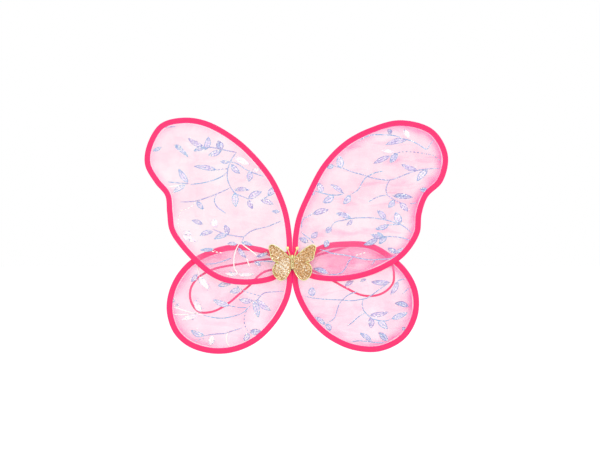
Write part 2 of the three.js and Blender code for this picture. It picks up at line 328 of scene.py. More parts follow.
def sparkle_group():
    """Small flat facets, each with its own brightness and tilt, as in glitter and foil."""
    tree, given, gives = shared_group(
        "sparkle",
        [("Place", "Vector", None), ("Facets per m", "Float", 1500.0)],
        [("Brightness", "Float"), ("Painted glint", "Float")],
    )
    facets = add_node(tree, "TexVoronoi", {
        "Vector": given["Place"], "Scale": given["Facets per m"],
    })
    parts = add_node(tree, "SeparateColor", {0: facets.outputs["Color"]}).outputs
    tree.links.new(parts[0], gives["Brightness"])
    # This mask marks a few facets, where a material may paint a glint of reflected light.
    tree.links.new(spread(tree, parts[1], 0.86, 0.97), gives["Painted glint"])
    return tree


CLOTH_WEAVE = weave_group()
UNEVEN_COLOUR = uneven_group()
SPARKLE = sparkle_group()
print("shared groups:", CLOTH_WEAVE.name, UNEVEN_COLOUR.name, SPARKLE.name)


# %% Helpers for materials
def new_material(name, **plain):
    """A material with its shader and the plain values set on the shader's own sockets."""
    material = bpy.data.materials.new(name)
    material.use_nodes = True
    tree = material.node_tree
    shader = tree.nodes["Principled BSDF"]
    for key, value in plain.items():
        shader.inputs[key.replace("_", " ")].default_value = value
    return material, tree, shader


def use(tree, group, **values):
    """Places a shared group in a material with its own values, and gives its outputs."""
    inputs = {key.replace("_", " "): value for key, value in values.items()}
    return add_node(tree, "Group", inputs, node_tree=group).outputs


def feed(tree, shader, **outputs):
    """Links what changes over the surface to the shader's inputs."""
    for key, output in outputs.items():
        tree.links.new(output, shader.inputs[key.replace("_", " ")])


def object_place(tree):
    return add_node(tree, "TexCoord").outputs["Object"]


def cloth_place(tree):
    return add_node(tree, "UVMap", uv_map="cloth").outputs["UV"]


def tone_of(tree):
    return add_node(tree, "Attribute", attribute_name="tone").outputs["Fac"]


def bump(tree, height, distance):
    """The normal of a surface that a height of 1 raises by the distance."""
    return add_node(tree, "Bump", {"Height": height, "Distance": distance}).outputs["Normal"]


def ramp(tree, factor, stops):
    """A colour ramp from (position, colour) stops."""
    made = add_node(tree, "ValToRGB", {"Fac": factor})
    elements = made.color_ramp.elements
    while len(elements) < len(stops):
        elements.new(0.5)
    for element, (position, colour) in zip(elements, stops):
        element.position = position
        element.color = (*colour, 1.0)
    return made.outputs["Color"]


# %% [markdown]
# ## Finish: elastic and thread
#
# The arm loops are round braided elastic, and the seams are sewn with polyester thread. The elastic
# gets the weave group at its own thread count, the thread a fine twist, and both a soft sheen, because
# fine fibres catch light at the edges.

# %% Elastic and thread materials
def braided_elastic():
    material, tree, shader = new_material(
        "braided pink elastic", Roughness=0.6, Sheen_Weight=0.25, Specular_IOR_Level=0.25
    )
    weave = use(tree, CLOTH_WEAVE, Cloth=cloth_place(tree), Threads_per_cm=14.0, Slant=1.4)
    colour = use(tree, UNEVEN_COLOUR, Place=object_place(tree), Patches_per_m=60.0, Amount=0.6,
                 Main=(1.0, 0.004, 0.1), Other=(1.0, 0.003, 0.07))
    # Between the threads the colour is painted darker, as shade.
    shade = mix(tree, weave["Thread"], (0.95, 0.002, 0.055), colour["Color"])
    feed(tree, shader, Base_Color=shade, Normal=bump(tree, weave["Height"], 0.12 * MM))
    return material


def sewing_thread():
    material, tree, shader = new_material(
        "pink sewing thread", Roughness=0.5, Sheen_Weight=0.2, Specular_IOR_Level=0.3
    )
    place = object_place(tree)
    twist = add_node(tree, "TexWave", {"Vector": place, "Scale": 900.0, "Distortion": 1.0})
    colour = use(tree, UNEVEN_COLOUR, Place=place, Patches_per_m=150.0, Amount=0.7,
                 Main=(1.0, 0.09, 0.3), Other=(0.95, 0.05, 0.24))
    feed(tree, shader, Base_Color=colour["Color"],
         Normal=bump(tree, twist.outputs["Fac"], 0.05 * MM))
    return material


ELASTIC = braided_elastic()
THREAD = sewing_thread()
print("made:", ELASTIC.name, THREAD.name)

# %% [markdown]
# ## Arm loops
#
# Each arm loop is one length of round elastic, 3.6 mm thick, whose two ends meet inside a ribbon
# keeper at the edge of the pad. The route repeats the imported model's points. The tube is a grid laid
# round that route, and its surface rises and falls in crossed spirals, which gives the braid real
# relief and not only a drawn one.

# %% The elastic's route
ELASTIC_DIAMETER = 3.6 * MM
ELASTIC_Y = -3.2 * MM
ELASTIC_STEP = 0.7
KEEPER_X = 24
KEEPER_Z = -2
KEEPER_HALF = 2.25
END_GAP = 0.3

elastic_points = {
    "left": [
        (-25.2, 3.2), (-29, 6), (-37, 6.2), (-80, -1), (-122, -8.7), (-141, -17), (-153, -26),
        (-161, -38), (-163.4, -50), (-161.5, -62), (-155, -73), (-147, -78.6), (-134, -79),
        (-120, -75), (-101, -63.5), (-85, -50), (-67, -34.5), (-56, -22.5), (-46, -15),
        (-36, -11.6), (-29, -10), (-25.2, -7),
    ],
    "right": [
        (25, 3.4), (28.5, 7.6), (36.7, 11.4), (56, 16.7), (75, 21.9), (95, 28), (116, 29.5),
        (137, 23.5), (151, 12.5), (159, 0), (162, -16), (161, -31), (153, -42), (140, -50),
        (124, -52.8), (108, -50.5), (85, -39.6), (67, -29.7), (47, -20), (35, -13.6),
        (28.6, -10), (25.2, -7),
    ],
}


def elastic_route(side):
    """The closed loop as stations in metres, from inside the keeper round to inside it again."""
    x = SIDES[side] * KEEPER_X
    free = [tuple(p) for p in smooth_route(elastic_points[side], 2)]
    upper = [(x, KEEPER_Z + END_GAP), (x, KEEPER_Z + KEEPER_HALF)]
    lower = [(x, KEEPER_Z - KEEPER_HALF), (x, KEEPER_Z - END_GAP)]
    flat = smooth_route([*upper, *free, *lower], ELASTIC_STEP)
    return [Vector((p.x * MM, ELASTIC_Y, p.y * MM)) for p in flat]


# %% The braided loops
BRAID_SIDES = 24
BRAID_STRANDS = 6
BRAID_RELIEF = 0.16 * MM
BRAID_TURN = 9 * MM


def round_section(route, i, angle, radius):
    """A point on the tube round station i of a route in the XZ plane."""
    way = direction_at(route, i)
    outwards = Vector((way.z, 0, -way.x))
    return route[i] + (outwards * math.cos(angle) + Vector((0, 1, 0)) * math.sin(angle)) * radius


def arm_loop(side):
    route = elastic_route(side)
    steps = len(route) - 1
    length = length_of(route)
    bm = new_mesh()

    def place(u, v):
        angle = math.tau * v
        turn = math.tau * u * length / BRAID_TURN
        strands = max(
            abs(math.sin((angle * BRAID_STRANDS + way * turn * 3) / 2)) for way in (1, -1)
        )
        radius = ELASTIC_DIAMETER / 2 - BRAID_RELIEF * (1 - strands)
        return round_section(route, round(u * steps), angle, radius)

    lay(bm, steps, BRAID_SIDES, place, (length, math.pi * ELASTIC_DIAMETER))
    close_up(bm, capped=True)
    made = piece(f"{side}_braided_arm_loop", bm, ELASTIC, f"{side}_arm_elastic")
    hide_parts(f"{side}_arm_loop")
    print(f"{side} arm loop: {length / MM:.1f} mm of elastic")


for side in SIDES:
    arm_loop(side)

# %% [markdown]
# ## The wings' outlines
#
# Each wing is a wire loop. Its line is given by the outer edge of the tape that covers the wire,
# clockwise from one end at the middle of the object to the other. Upper wings lie in front of the
# lower ones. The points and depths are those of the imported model, in millimetres.

# %% Outlines and depths
wing_edges = {
    "left_upper": [
        (-14, -13), (-27, -26), (-64, -34), (-105, -31), (-135, -17), (-177, 24), (-195, 52),
        (-199, 80), (-202, 107), (-218, 127), (-234, 156), (-231, 187), (-210, 221), (-174, 231),
        (-135, 225), (-85, 196), (-46, 157), (-25, 126), (-8, 84), (-1.4, 46), (-0.45, 28),
        (-0.45, 2),
    ],
    "left_lower": [
        (-0.45, -11), (-0.6, -32), (-6, -58), (-24, -92), (-55, -124), (-92, -141),
        (-129, -143.5), (-166, -132), (-189, -110), (-199.5, -77), (-196, -46), (-182, -17),
        (-158, 7), (-116, 25), (-84, 29), (-38, 21), (-14, 6),
    ],
    "right_upper": [
        (0.45, 2), (0.45, 28), (1.2, 42), (7, 73), (22, 109), (48, 157), (83, 193), (124, 215),
        (173, 227), (224, 212), (247, 172), (239, 130), (215, 105), (205.5, 78), (202, 47),
        (179, 12), (148, -9), (112, -23), (70, -29), (29, -24), (14, -13),
    ],
    "right_lower": [
        (14, 6), (46, 28), (84, 34), (125, 31), (161, 10), (186, -16), (199.5, -46), (199, -84),
        (179, -120), (140, -140), (97, -138), (59, -121), (32, -97), (14, -70), (4.5, -48),
        (0.6, -30), (0.45, -11),
    ],
}
film_middles = {
    "left_upper": (-112, 96), "left_lower": (-104, -56),
    "right_upper": (112, 92), "right_lower": (106, -52),
}
WING_DEPTH = {"upper": -12.2, "lower": -8.4}


def depth_of(wing):
    return WING_DEPTH[wing.split("_")[1]]


for wing, points in wing_edges.items():
    print(wing, "edge:", len(points), "points at depth", depth_of(wing), "mm")

# %% [markdown]
# ## Finish: satin binding
#
# The binding is bright pink satin tape, smooth and glossy along its threads. Where it turns away, at
# the fold and at its stitched edge, a deeper pink is painted in as shade; the flat between them keeps
# the lighter coral. The tape's own UV map runs across it, so those bands of painted shade follow the
# tape round the whole wing. Between the threads of the weave the colour is painted a little darker,
# as shade too.

# %% Satin materials
TAPE_WIDTH = 8.8
CORAL_PINK = (1.0, 0.037, 0.15)
TURNED_AWAY_SHADE_PINK = (1.0, 0.006, 0.24)
PIPING_PINK = (0.8, 0.004, 0.1)
HANDLED_PINK = (0.99, 0.016, 0.125)
# Painted shade between the threads of the weave.
SHADE_BETWEEN_THREADS = (0.96, 0.016, 0.13)
SHADED_WHERE_TURNING = (0.02, 0.43, 0.57, 0.98)
LIES_FLAT = (0.13, 0.28, 0.72, 0.87)


def tape_shade_bands(tree, cloth):
    """Painted shade: deeper pink at the tape's two edges and at its fold, where it turns away, and
    coral on the flat between them.
    """
    across = add_node(tree, "SeparateXYZ", {0: cloth}).outputs[1]
    share = spread(tree, across, high=2 * TAPE_WIDTH * MM / CM)
    # Painted shade: the deeper pink where the tape turns away, at its edges and at its fold.
    deep = [(position, TURNED_AWAY_SHADE_PINK) for position in SHADED_WHERE_TURNING]
    light = [(position, CORAL_PINK) for position in LIES_FLAT]
    return ramp(tree, share, sorted(deep + light))


def satin(name, main=None):
    """Satin cloth, of one main colour or in the bands of painted shade of the folded tape."""
    material, tree, shader = new_material(
        name, Sheen_Weight=0.12, Specular_IOR_Level=0.3, Anisotropic=0.4
    )
    cloth = cloth_place(tree)
    colour = use(tree, UNEVEN_COLOUR, Place=object_place(tree), Patches_per_m=45.0, Amount=0.35,
                 Main=main or tape_shade_bands(tree, cloth), Other=HANDLED_PINK)
    weave = use(tree, CLOTH_WEAVE, Cloth=cloth, Threads_per_cm=28.0, Slant=0.35)
    # Between the threads the colour is painted darker, as shade.
    shade = mix(tree, weave["Thread"], SHADE_BETWEEN_THREADS, colour["Color"])
    gloss = spread(tree, colour["Patch"], to_low=0.36, to_high=0.5)
    feed(tree, shader, Base_Color=shade, Roughness=gloss,
         Normal=bump(tree, weave["Height"], 0.03 * MM))
    return material


BINDING_SATIN = satin("pink satin tape")
PAD_SATIN = satin("pink satin cloth", CORAL_PINK)
PIPING_SATIN = satin("deep pink piping", PIPING_PINK)
print("made:", BINDING_SATIN.name, PAD_SATIN.name, PIPING_SATIN.name)

# %% [markdown]
# ## Binding
#
# On the real wings the tape is folded in half over the wire and sewn shut through the film, close
# to its inner edge. The grid is laid the same way: its middle line goes round the wire and its two
# halves lie in front of and behind the film. The stitches pull it in, and it puckers a little
# between them.

# %% The folded tape
TAPE_STEP = 1.5
TAPE_ACROSS = 22
FOLD_RADIUS = 1.62
EDGE_HALF = 0.78
SEAM_AT = 7.2
SEAM_PULL = 0.22
SEAM_WIDTH = 0.55
FULLNESS = 0.3
EDGE_CROWDING = 1.35
TAPE_THICKNESS = 0.35
PUCKER_SIZE = 1 / 0.035
PUCKERS = ((4, 0.08), (13, 0.056))  # how fine each kind is, and how deep
SMOOTH_OVER_WIRE = 3
WANDER = 0.25


def tape_half_thickness(inset):
    """Half the folded tape's thickness, at a distance in from its outer edge."""
    if inset < FOLD_RADIUS:
        return math.sqrt(max(0.0, FOLD_RADIUS**2 - (FOLD_RADIUS - inset) ** 2))
    share = min(1.0, (inset - FOLD_RADIUS) / (TAPE_WIDTH - FOLD_RADIUS))
    eased = share * share * (3 - 2 * share)
    pull = SEAM_PULL * math.exp(-(((inset - SEAM_AT) / SEAM_WIDTH) ** 2))
    return FOLD_RADIUS + (EDGE_HALF - FOLD_RADIUS) * eased - pull


def fold_tape(wing, route):
    """The tape laid round the wire, as a function of the grid's two shares."""
    depth = depth_of(wing)
    steps = len(route) - 1

    def place(u, v):
        i = round(u * steps)
        side = 1 if v > 0.5 else -1
        inset = TAPE_WIDTH * abs(2 * v - 1) ** EDGE_CROWDING
        spot = Vector((route[i].x / PUCKER_SIZE, route[i].y / PUCKER_SIZE, side * 3.0))
        pucker = sum(noise.noise(spot * fine) * deep for fine, deep in PUCKERS)
        half = tape_half_thickness(inset) + pucker * min(1.0, inset / SMOOTH_OVER_WIRE)
        wander = noise.noise(spot) * WANDER * (inset / TAPE_WIDTH)
        inwards = to_the_right(direction_at(route, i))
        return at(route[i] + inwards * (inset - FULLNESS + wander), depth + side * half)

    return place


def body_of(wing):
    return f"{wing}_wing"


def binding(wing):
    route = smooth_route(wing_edges[wing], TAPE_STEP)
    steps = len(route) - 1
    size = (steps * TAPE_STEP * MM, 2 * TAPE_WIDTH * MM)
    bm = new_mesh()
    lay(bm, steps, TAPE_ACROSS, fold_tape(wing, route), size)
    bmesh.ops.recalc_face_normals(bm, faces=bm.faces)
    made = piece(f"{body_of(wing)}_folded_tape", bm, BINDING_SATIN, body_of(wing))
    thicken(made, TAPE_THICKNESS * MM, -1)
    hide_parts(f"{body_of(wing)}_binding")
    print(f"{wing}: {steps * TAPE_STEP:.0f} mm of tape")


for wing in wing_edges:
    binding(wing)

# %% [markdown]
# ## Stitches in the binding
#
# A row of lockstitch closes the tape. Each stitch is a tiny stretched sphere of a few dozen faces,
# laid end to end with a gap between, in front and behind. Hundreds of them share one mesh.

# %% Sewing a row of stitches
STITCH_PITCH = 3.2
STITCH_LENGTH = 2.3
STITCH_THICK = 0.42
BATCH = 40


def in_batches(items, make):
    """Makes many small shapes a few at a time, because each operator walks the whole mesh."""
    whole = new_mesh()
    for first in range(0, len(items), BATCH):
        batch = new_mesh()
        for item in items[first:first + BATCH]:
            make(batch, item)
        part = bpy.data.meshes.new("batch")
        batch.to_mesh(part)
        batch.free()
        whole.from_mesh(part)
        bpy.data.meshes.remove(part)
    return whole


def sew(bm, stitch):
    """One stitch, from start to end and of a thickness, in metres."""
    start, end, thick = stitch
    along = end - start
    turn = along.to_track_quat("X", "Z").to_matrix().to_4x4()
    stretch = Matrix.Diagonal((along.length / 2, thick / 2, thick / 2, 1))
    place = Matrix.Translation((start + end) / 2) @ turn @ stretch
    bmesh.ops.create_uvsphere(bm, u_segments=6, v_segments=4, radius=1, matrix=place)


def binding_stitches(wing):
    seam = moved_in(smooth_route(wing_edges[wing], STITCH_PITCH), SEAM_AT - FULLNESS)
    half = tape_half_thickness(SEAM_AT) + STITCH_THICK / 4
    stitches = []
    for i in range(1, len(seam) - 1):
        way = direction_at(seam, i) * STITCH_LENGTH / 2
        for side in (-1, 1):
            ends = [at(p, depth_of(wing) + side * half) for p in (seam[i] - way, seam[i] + way)]
            stitches.append((*ends, STITCH_THICK * MM))
    bm = in_batches(stitches, sew)
    piece(f"{body_of(wing)}_tape_stitches", bm, THREAD, body_of(wing))


for wing in wing_edges:
    binding_stitches(wing)

# %% [markdown]
# ## Finish: sheer film
#
# The film is a thin pink organza-like sheet. Most of the light goes straight through, so the shader's
# alpha is low. It is a little denser in soft clouds, along faint creases, and near the tape, where it
# is gathered, more so on the outer side where the wire bends most. Long soft wisps of extra density
# across the wing are painted shade, standing for the shadows that the print casts on the film. Close
# beside the tape a thin white sheen is painted into the film's colour, as a painted highlight. Every
# point of the film carries its distance from the film's edge, in millimetres, as its tone. Each of the
# four films has its own density.

# %% Film material
FILM_PINK = (0.93, 0.26, 0.52)
FILM_DEEP = (0.95, 0.16, 0.42)
FILM_SHEEN = (1.0, 0.93, 0.96)
FILM_HIDDEN = 4.6
GATHERED_TO = 22.0
SHEEN_TO = 6.4
OUTER_SIDE = (60 * MM, 220 * MM)
CREASE_WIDTH = 0.04
CREASE_ALPHA = 0.02
PRINT_SHADOW_STRETCH = (17, 1, 55)


def crease_lines(tree, place):
    """Bright along thin wandering lines, where the film was once folded."""
    middle = math_node(tree, "SUBTRACT", clouds(tree, place, 9.0, distortion=1.6), 0.5)
    return spread(tree, math_node(tree, "ABSOLUTE", middle), 0.0, CREASE_WIDTH, 1.0, 0.0)


def gathers(tree, place, from_edge, patch, extra):
    """Extra density beside the tape: uneven, and stronger on the wing's outer side."""
    nearer = math_node(tree, "POWER", spread(tree, from_edge, GATHERED_TO, FILM_HIDDEN), 2.2)
    uneven = math_node(tree, "ADD", math_node(tree, "MULTIPLY", patch, 0.8), 0.6)
    sideways = math_node(tree, "ABSOLUTE", add_node(tree, "SeparateXYZ", {0: place}).outputs[0])
    outwards = spread(tree, sideways, *OUTER_SIDE, 0.6 * extra, 1.7 * extra)
    return math_node(tree, "MULTIPLY", nearer, uneven, outwards)


def painted_print_shadows(tree, place, extra):
    """Painted shade: long soft wisps of extra density across the wing, standing for the print's
    shadows.
    """
    drawn_out = add_node(tree, "VectorMath", {0: place, 1: PRINT_SHADOW_STRETCH}, operation="MULTIPLY")
    wisps = clouds(tree, drawn_out.outputs[0], 1.0, distortion=0.7)
    return spread(tree, wisps, 0.52, 0.72, to_high=extra)


def sheer_film(wing, clear, cloudy, gathered, print_shadow_alpha):
    """Film with its alpha where it is clear and cloudy, and what the gathers and the painted print
    shadows add.
    """
    side, level = wing.split("_")
    material, tree, shader = new_material(
        f"sheer film, {level} {side}", Roughness=0.3, Specular_IOR_Level=0.45, Sheen_Weight=0.1
    )
    place = object_place(tree)
    from_edge = tone_of(tree)
    colour = use(tree, UNEVEN_COLOUR, Place=place, Patches_per_m=22.0, Amount=0.8,
                 Main=FILM_PINK, Other=FILM_DEEP)
    patch = colour["Patch"]
    # Close beside the tape a thin white sheen is painted into the colour: a painted highlight.
    sheen = spread(tree, from_edge, SHEEN_TO, SHEEN_TO - 1, to_high=0.8)
    sheer = mix(tree, math_node(tree, "MULTIPLY", sheen, patch), colour["Color"], FILM_SHEEN)
    creases = crease_lines(tree, place)
    alpha = math_node(
        tree, "ADD", math_node(tree, "MULTIPLY", patch, cloudy - clear), clear,
        painted_print_shadows(tree, place, print_shadow_alpha), gathers(tree, place, from_edge, patch, gathered),
        math_node(tree, "MULTIPLY", creases, CREASE_ALPHA),
    )
    ribs = use(tree, CLOTH_WEAVE, Cloth=place, Threads_per_cm=0.4, Slant=0.0)["Height"]
    relief = math_node(tree, "ADD", ribs, math_node(tree, "MULTIPLY", creases, 6.0))
    feed(tree, shader, Base_Color=sheer, Alpha=alpha, Normal=bump(tree, relief, 0.02 * MM))
    return material


# Each row: alpha where clear, alpha where cloudy, extra at the gathers, and the painted print shadow.
FILM_ALPHAS = {
    "left_upper": (0.075, 0.16, 0.12, 0.05), "left_lower": (0.18, 0.29, 0.2, 0.05),
    "right_upper": (0.11, 0.22, 0.4, 0.16), "right_lower": (0.17, 0.28, 0.34, 0.12),
}
films = {wing: sheer_film(wing, *alphas) for wing, alphas in FILM_ALPHAS.items()}
print("made:", [material.name for material in films.values()])

# %% [markdown]
# ## Film
#
# Each film is cut to its loop and held all round by the tape. It isn't perfectly flat: it billows by
# about a millimetre, and short puckers run in from the seam. The grid is laid in rings from a
# middle point out to the edge, and the ripples are moves of its points.

# %% Laying the film in its loop
FILM_INSET = 4.2
FILM_STEP = 4
FILM_RINGS = 26
BILLOW = 1.3
BILLOWS_PER_MM = 0.012
PUCKER = 0.42
PUCKER_LENGTH = 15
FILM_THICKNESS = 0.15
BESIDE_THE_PAD = slice(3, -3)
RING_CROWDING = 1.3


def film_surface(wing):
    """The film's edge as a closed route, and where each of its points lies."""
    edge = moved_in(smooth_route(wing_edges[wing], FILM_STEP), FILM_INSET)[BESIDE_THE_PAD]
    closed = evenly_spaced([*edge, edge[0]], FILM_STEP)
    middle = Vector(film_middles[wing])
    depth = depth_of(wing)

    def place(u, v):
        i = round(u * (len(closed) - 1))
        share = 1 - (1 - v) ** RING_CROWDING
        flat = middle.lerp(closed[i], share)
        spot = Vector((flat.x, flat.y, depth * 9)) * BILLOWS_PER_MM
        billow = noise.noise(spot) * BILLOW * (1 - share**6)
        phase = math.tau * i * FILM_STEP / PUCKER_LENGTH + 3 * noise.noise(spot * 3)
        near_edge = max(0.0, (share - 0.7) / 0.3) ** 2 * max(0.0, min(1.0, (1 - share) / 0.05))
        return at(flat, depth + billow + math.sin(phase) * PUCKER * near_edge)

    return closed, place


def flat_area(closed):
    """The area that a flat closed route encloses."""
    return abs(sum(a.x * b.y - b.x * a.y for a, b in zip(closed, closed[1:]))) / 2


def note_distances(bm, closed):
    """Writes each point's distance from the film's edge into its tone."""
    edge_points = kdtree.KDTree(len(closed))
    for i, point in enumerate(closed):
        edge_points.insert((point.x, 0, point.y), i)
    edge_points.balance()
    tones = bm.verts.layers.float["tone"]
    for vertex in bm.verts:
        vertex[tones] = edge_points.find((vertex.co.x / MM, 0, vertex.co.z / MM))[2]


film_trees = {}
for wing in wing_edges:
    closed, place = film_surface(wing)
    bm = new_mesh()
    lay(bm, len(closed) - 1, FILM_RINGS, place)
    close_up(bm)
    note_distances(bm, closed)
    film_trees[wing] = BVHTree.FromBMesh(bm)
    film = piece(f"{body_of(wing)}_sheer_film", bm, films[wing], body_of(wing))
    thicken(film, FILM_THICKNESS * MM, 0)
    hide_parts(f"{body_of(wing)}_film")
    wide = max(p.x for p in closed) - min(p.x for p in closed)
    tall = max(p.y for p in closed) - min(p.y for p in closed)
    flat_area(closed) * MM**2
    print(f"{wing} film: {wide:.0f} x {tall:.0f} mm, {flat_area(closed) / 100:.0f} cm2")

# %% [markdown]
# ## Finish: printed foil
#
# Vines and leaves are pressed on the film in a thin pearly foil. It is pale blue from one side and
# lilac from the other, and some of it is darker. Its cream-white parts, and the near-white specks
# scattered over it, are painted glints: reflected light painted into the colour. Each printed shape
# carries a tone number, and a colour ramp turns the tone into a colour, so one material serves the
# whole print. Foil takes in specks, and a pale pink between the specks stands for the film there.

# %% Foil material
# The cream-white tone is a painted glint: reflected light painted as colour.
PAINTED_GLINT_TONE = 0.0
PALE_TONE = 0.25
BLUE_TONE = 0.5
LILAC_TONE = 0.72
TONE_DRIFT = 0.09
BETWEEN_SPECKS = (1.0, 0.86, 0.95)
# Near-white painted onto a few foil specks, as glints of reflected light.
PAINTED_GLINT_WHITE = (1.0, 0.97, 0.92)
FOIL_COLOURS = [
    (0.0, (1.0, 0.94, 0.86)), (0.1, (0.98, 0.86, 0.84)), (0.26, (0.78, 0.58, 0.8)),
    (0.48, (0.24, 0.43, 0.69)), (0.72, (0.36, 0.31, 0.62)), (1.0, (0.2, 0.16, 0.4)),
]


def printed_foil():
    material, tree, shader = new_material("pearly printed foil", Roughness=0.35)
    place = object_place(tree)
    drift = spread(tree, clouds(tree, place, 70.0), 0.3, 0.7, -TONE_DRIFT, TONE_DRIFT)
    foil = ramp(tree, math_node(tree, "ADD", tone_of(tree), drift), FOIL_COLOURS)
    specks = use(tree, SPARKLE, Place=place, Facets_per_m=900.0)
    speckled = spread(tree, specks["Brightness"], 0.1, 0.5, 0.5)
    printed = mix(tree, speckled, BETWEEN_SPECKS, foil)
    # A few specks are painted near-white, as glints of reflected light.
    feed(
        tree, shader, Base_Color=mix(tree, specks["Painted glint"], printed, PAINTED_GLINT_WHITE),
        Metallic=math_node(tree, "MULTIPLY", specks["Brightness"], 0.35),
        Normal=bump(tree, specks["Brightness"], 0.03 * MM),
    )
    return material


FOIL = printed_foil()
print("made:", FOIL.name)

# %% [markdown]
# ## What is printed
#
# The print is laid out in these lists. A stem is a few points with a smooth line through them. A leaf
# is its base, its tip, its width and its kind. Numbers are millimetres in the plane of the wings.

# %% Stems and leaves of the upper left wing
stems = {}
leaves = {}
stems["left_upper"] = [
    ("line", [(-98, 120), (-103, 133), (-103, 146), (-99, 160), (-92, 172), (-89, 176)]),
    ("line", [(-103, 146), (-110, 139), (-125, 132), (-145, 127), (-162, 125)]),
    ("line", [(-165, 126), (-198, 129)]),
    ("white", [(-170, 125), (-198, 121)]),
    ("line", [(-89, 176), (-100, 178), (-118, 182), (-130, 184), (-143, 184)]),
    ("line", [(-98, 161), (-88, 158), (-74, 149), (-66, 145), (-55, 141), (-46, 138)]),
    ("dashes", [(-103, 150), (-120, 148)]),
    ("line", [(-98, 120), (-120, 110), (-145, 101), (-158, 98), (-178, 97)]),
    ("line", [(-120, 110), (-124, 100), (-120, 90), (-106, 79)]),
    ("line", [(-98, 120), (-92, 112), (-80, 106), (-70, 102)]),
    ("line", [(-48, 101), (-38, 107), (-33, 112)]),
    ("white dashes", [(-155, 97), (-160, 90), (-178, 83)]),
    ("white dashes", [(-178, 82), (-182, 65), (-180, 50)]),
    ("line", [(-16, 67), (-22, 65), (-40, 58), (-60, 53), (-70, 48), (-77, 42), (-90, 43),
              (-102, 45), (-112, 48), (-127, 54)]),
    ("line", [(-77, 42), (-79, 36), (-80, 33)]),
    ("line", [(-202, 216), (-186, 217)]),
    ("white dashes", [(-140, 21), (-125, 18), (-110, 16)]),
    ("white", [(-84, 32), (-90, 20), (-93, 5), (-92, -8), (-86, -18)]),
    ("white", [(-80, 30), (-60, 15), (-55, 10)]),
    ("white", [(-73, 8), (-68, -6)]),
    ("line", [(-138, -2), (-120, 0), (-105, 5), (-97, 8)]),
    ("line", [(-60, 2), (-45, 3), (-30, 2)]),
]
leaves["left_upper"] = [
    (-166, 128, -181, 150, 9, "pale"), (-170, 124, -190, 112, 8, "pale"),
    (-113, 180, -118, 195, 12, "dark"), (-113, 179, -134, 171, 9, "blue"),
    (-140, 183, -157, 178, 7, "blue"), (-142, 186, -166, 199, 8, "blue"),
    (-139, 180, -133, 201, 10, "blue"), (-100, 161, -115, 162, 6, "blue"),
    (-97, 157, -83, 142, 9, "blue"), (-68, 146, -69, 129, 10, "blue"),
    (-64, 146, -50, 152, 6, "white"), (-92, 168, -68, 156, 10, "white"),
    (-120, 148, -157, 154, 8, "blue"), (-152, 98, -141, 85, 8, "blue"),
    (-92, 116, -68, 116, 7, "blue"), (-70, 102, -48, 114, 10, "blue"),
    (-70, 100, -63, 86, 8, "blue"), (-91, 112, -90, 89, 11, "pale"),
    (-50, 100, -30, 93, 8, "blue"), (-38, 107, -30, 121, 10, "blue"),
    (-20, 82, -33, 82, 6, "blue"), (-188, 187, -165, 168, 6, "pale"),
    (-187, 188, -175, 182, 5, "pale"), (-209, 184, -222, 178, 6, "pale"),
    (-174, 50, -160, 45, 8, "white"), (-175, 45, -153, 33, 9, "white"),
    (-143, 62, -160, 68, 7, "blue"), (-121, 57, -128, 70, 12, "white"),
    (-126, 50, -148, 43, 8, "blue"), (-103, 45, -125, 38, 8, "blue"),
    (-102, 46, -108, 61, 9, "blue"), (-81, 33, -63, 28, 6, "blue"),
    (-88, 30, -104, 31, 6, "blue"), (-125, 22, -147, 21, 6, "blue"),
    (-86, 24, -73, 8, 7, "blue"), (-57, 10, -38, 16, 6, "dark"), (-60, 2, -50, -5, 6, "dark"),
    (-86, -17, -107, -16, 6, "white"), (-86, -18, -60, -17, 6, "white"),
]
print("upper left:", len(stems["left_upper"]), "stems", len(leaves["left_upper"]), "leaves")

# %% Stems and leaves of the upper right wing
stems["right_upper"] = [
    ("line", [(66, 154), (80, 151), (95, 145), (113, 140), (125, 136), (140, 133), (155, 132),
              (168, 136), (183, 142), (198, 147), (208, 149), (235, 151)]),
    ("line", [(145, 146), (133, 144), (124, 140), (117, 136), (111, 128), (105, 117),
              (100, 113), (94, 110)]),
    ("line", [(155, 132), (151, 125), (149, 117), (151, 109), (158, 103), (170, 97), (174, 95)]),
    ("line", [(151, 108), (138, 106), (120, 97)]),
    ("line", [(187, 94), (198, 96)]),
    ("line", [(105, 193), (112, 198), (120, 202), (130, 204), (146, 204), (165, 202),
              (175, 198), (187, 195), (200, 189), (214, 181), (218, 187), (225, 196)]),
    ("dashes", [(235, 163), (224, 171), (210, 174), (188, 177), (170, 176), (163, 173)]),
    ("line", [(34, 115), (45, 112), (58, 109), (70, 108), (83, 110)]),
    ("line", [(15, 55), (15, 65), (20, 72), (25, 74), (32, 79)]),
    ("line", [(14, 50), (20, 44), (27, 39), (34, 32)]),
    ("line", [(62, 58), (68, 65), (80, 68), (95, 71), (110, 72), (125, 72), (140, 70),
              (155, 67), (165, 63), (172, 61), (182, 55), (191, 47)]),
    ("line", [(170, 61), (150, 61)]),
    ("line", [(188, 36), (175, 40), (160, 42), (150, 42), (140, 40)]),
    ("line", [(42, 22), (50, 20), (65, 15), (80, 13), (97, 10), (110, 7), (125, 5), (140, 6),
              (155, 7), (165, 12)]),
    ("line", [(97, 10), (90, 3), (86, -5), (80, -14), (70, -18), (58, -18)]),
    ("line", [(131, 4), (126, -3)]),
    ("white dashes", [(101, 12), (117, 17)]),
]
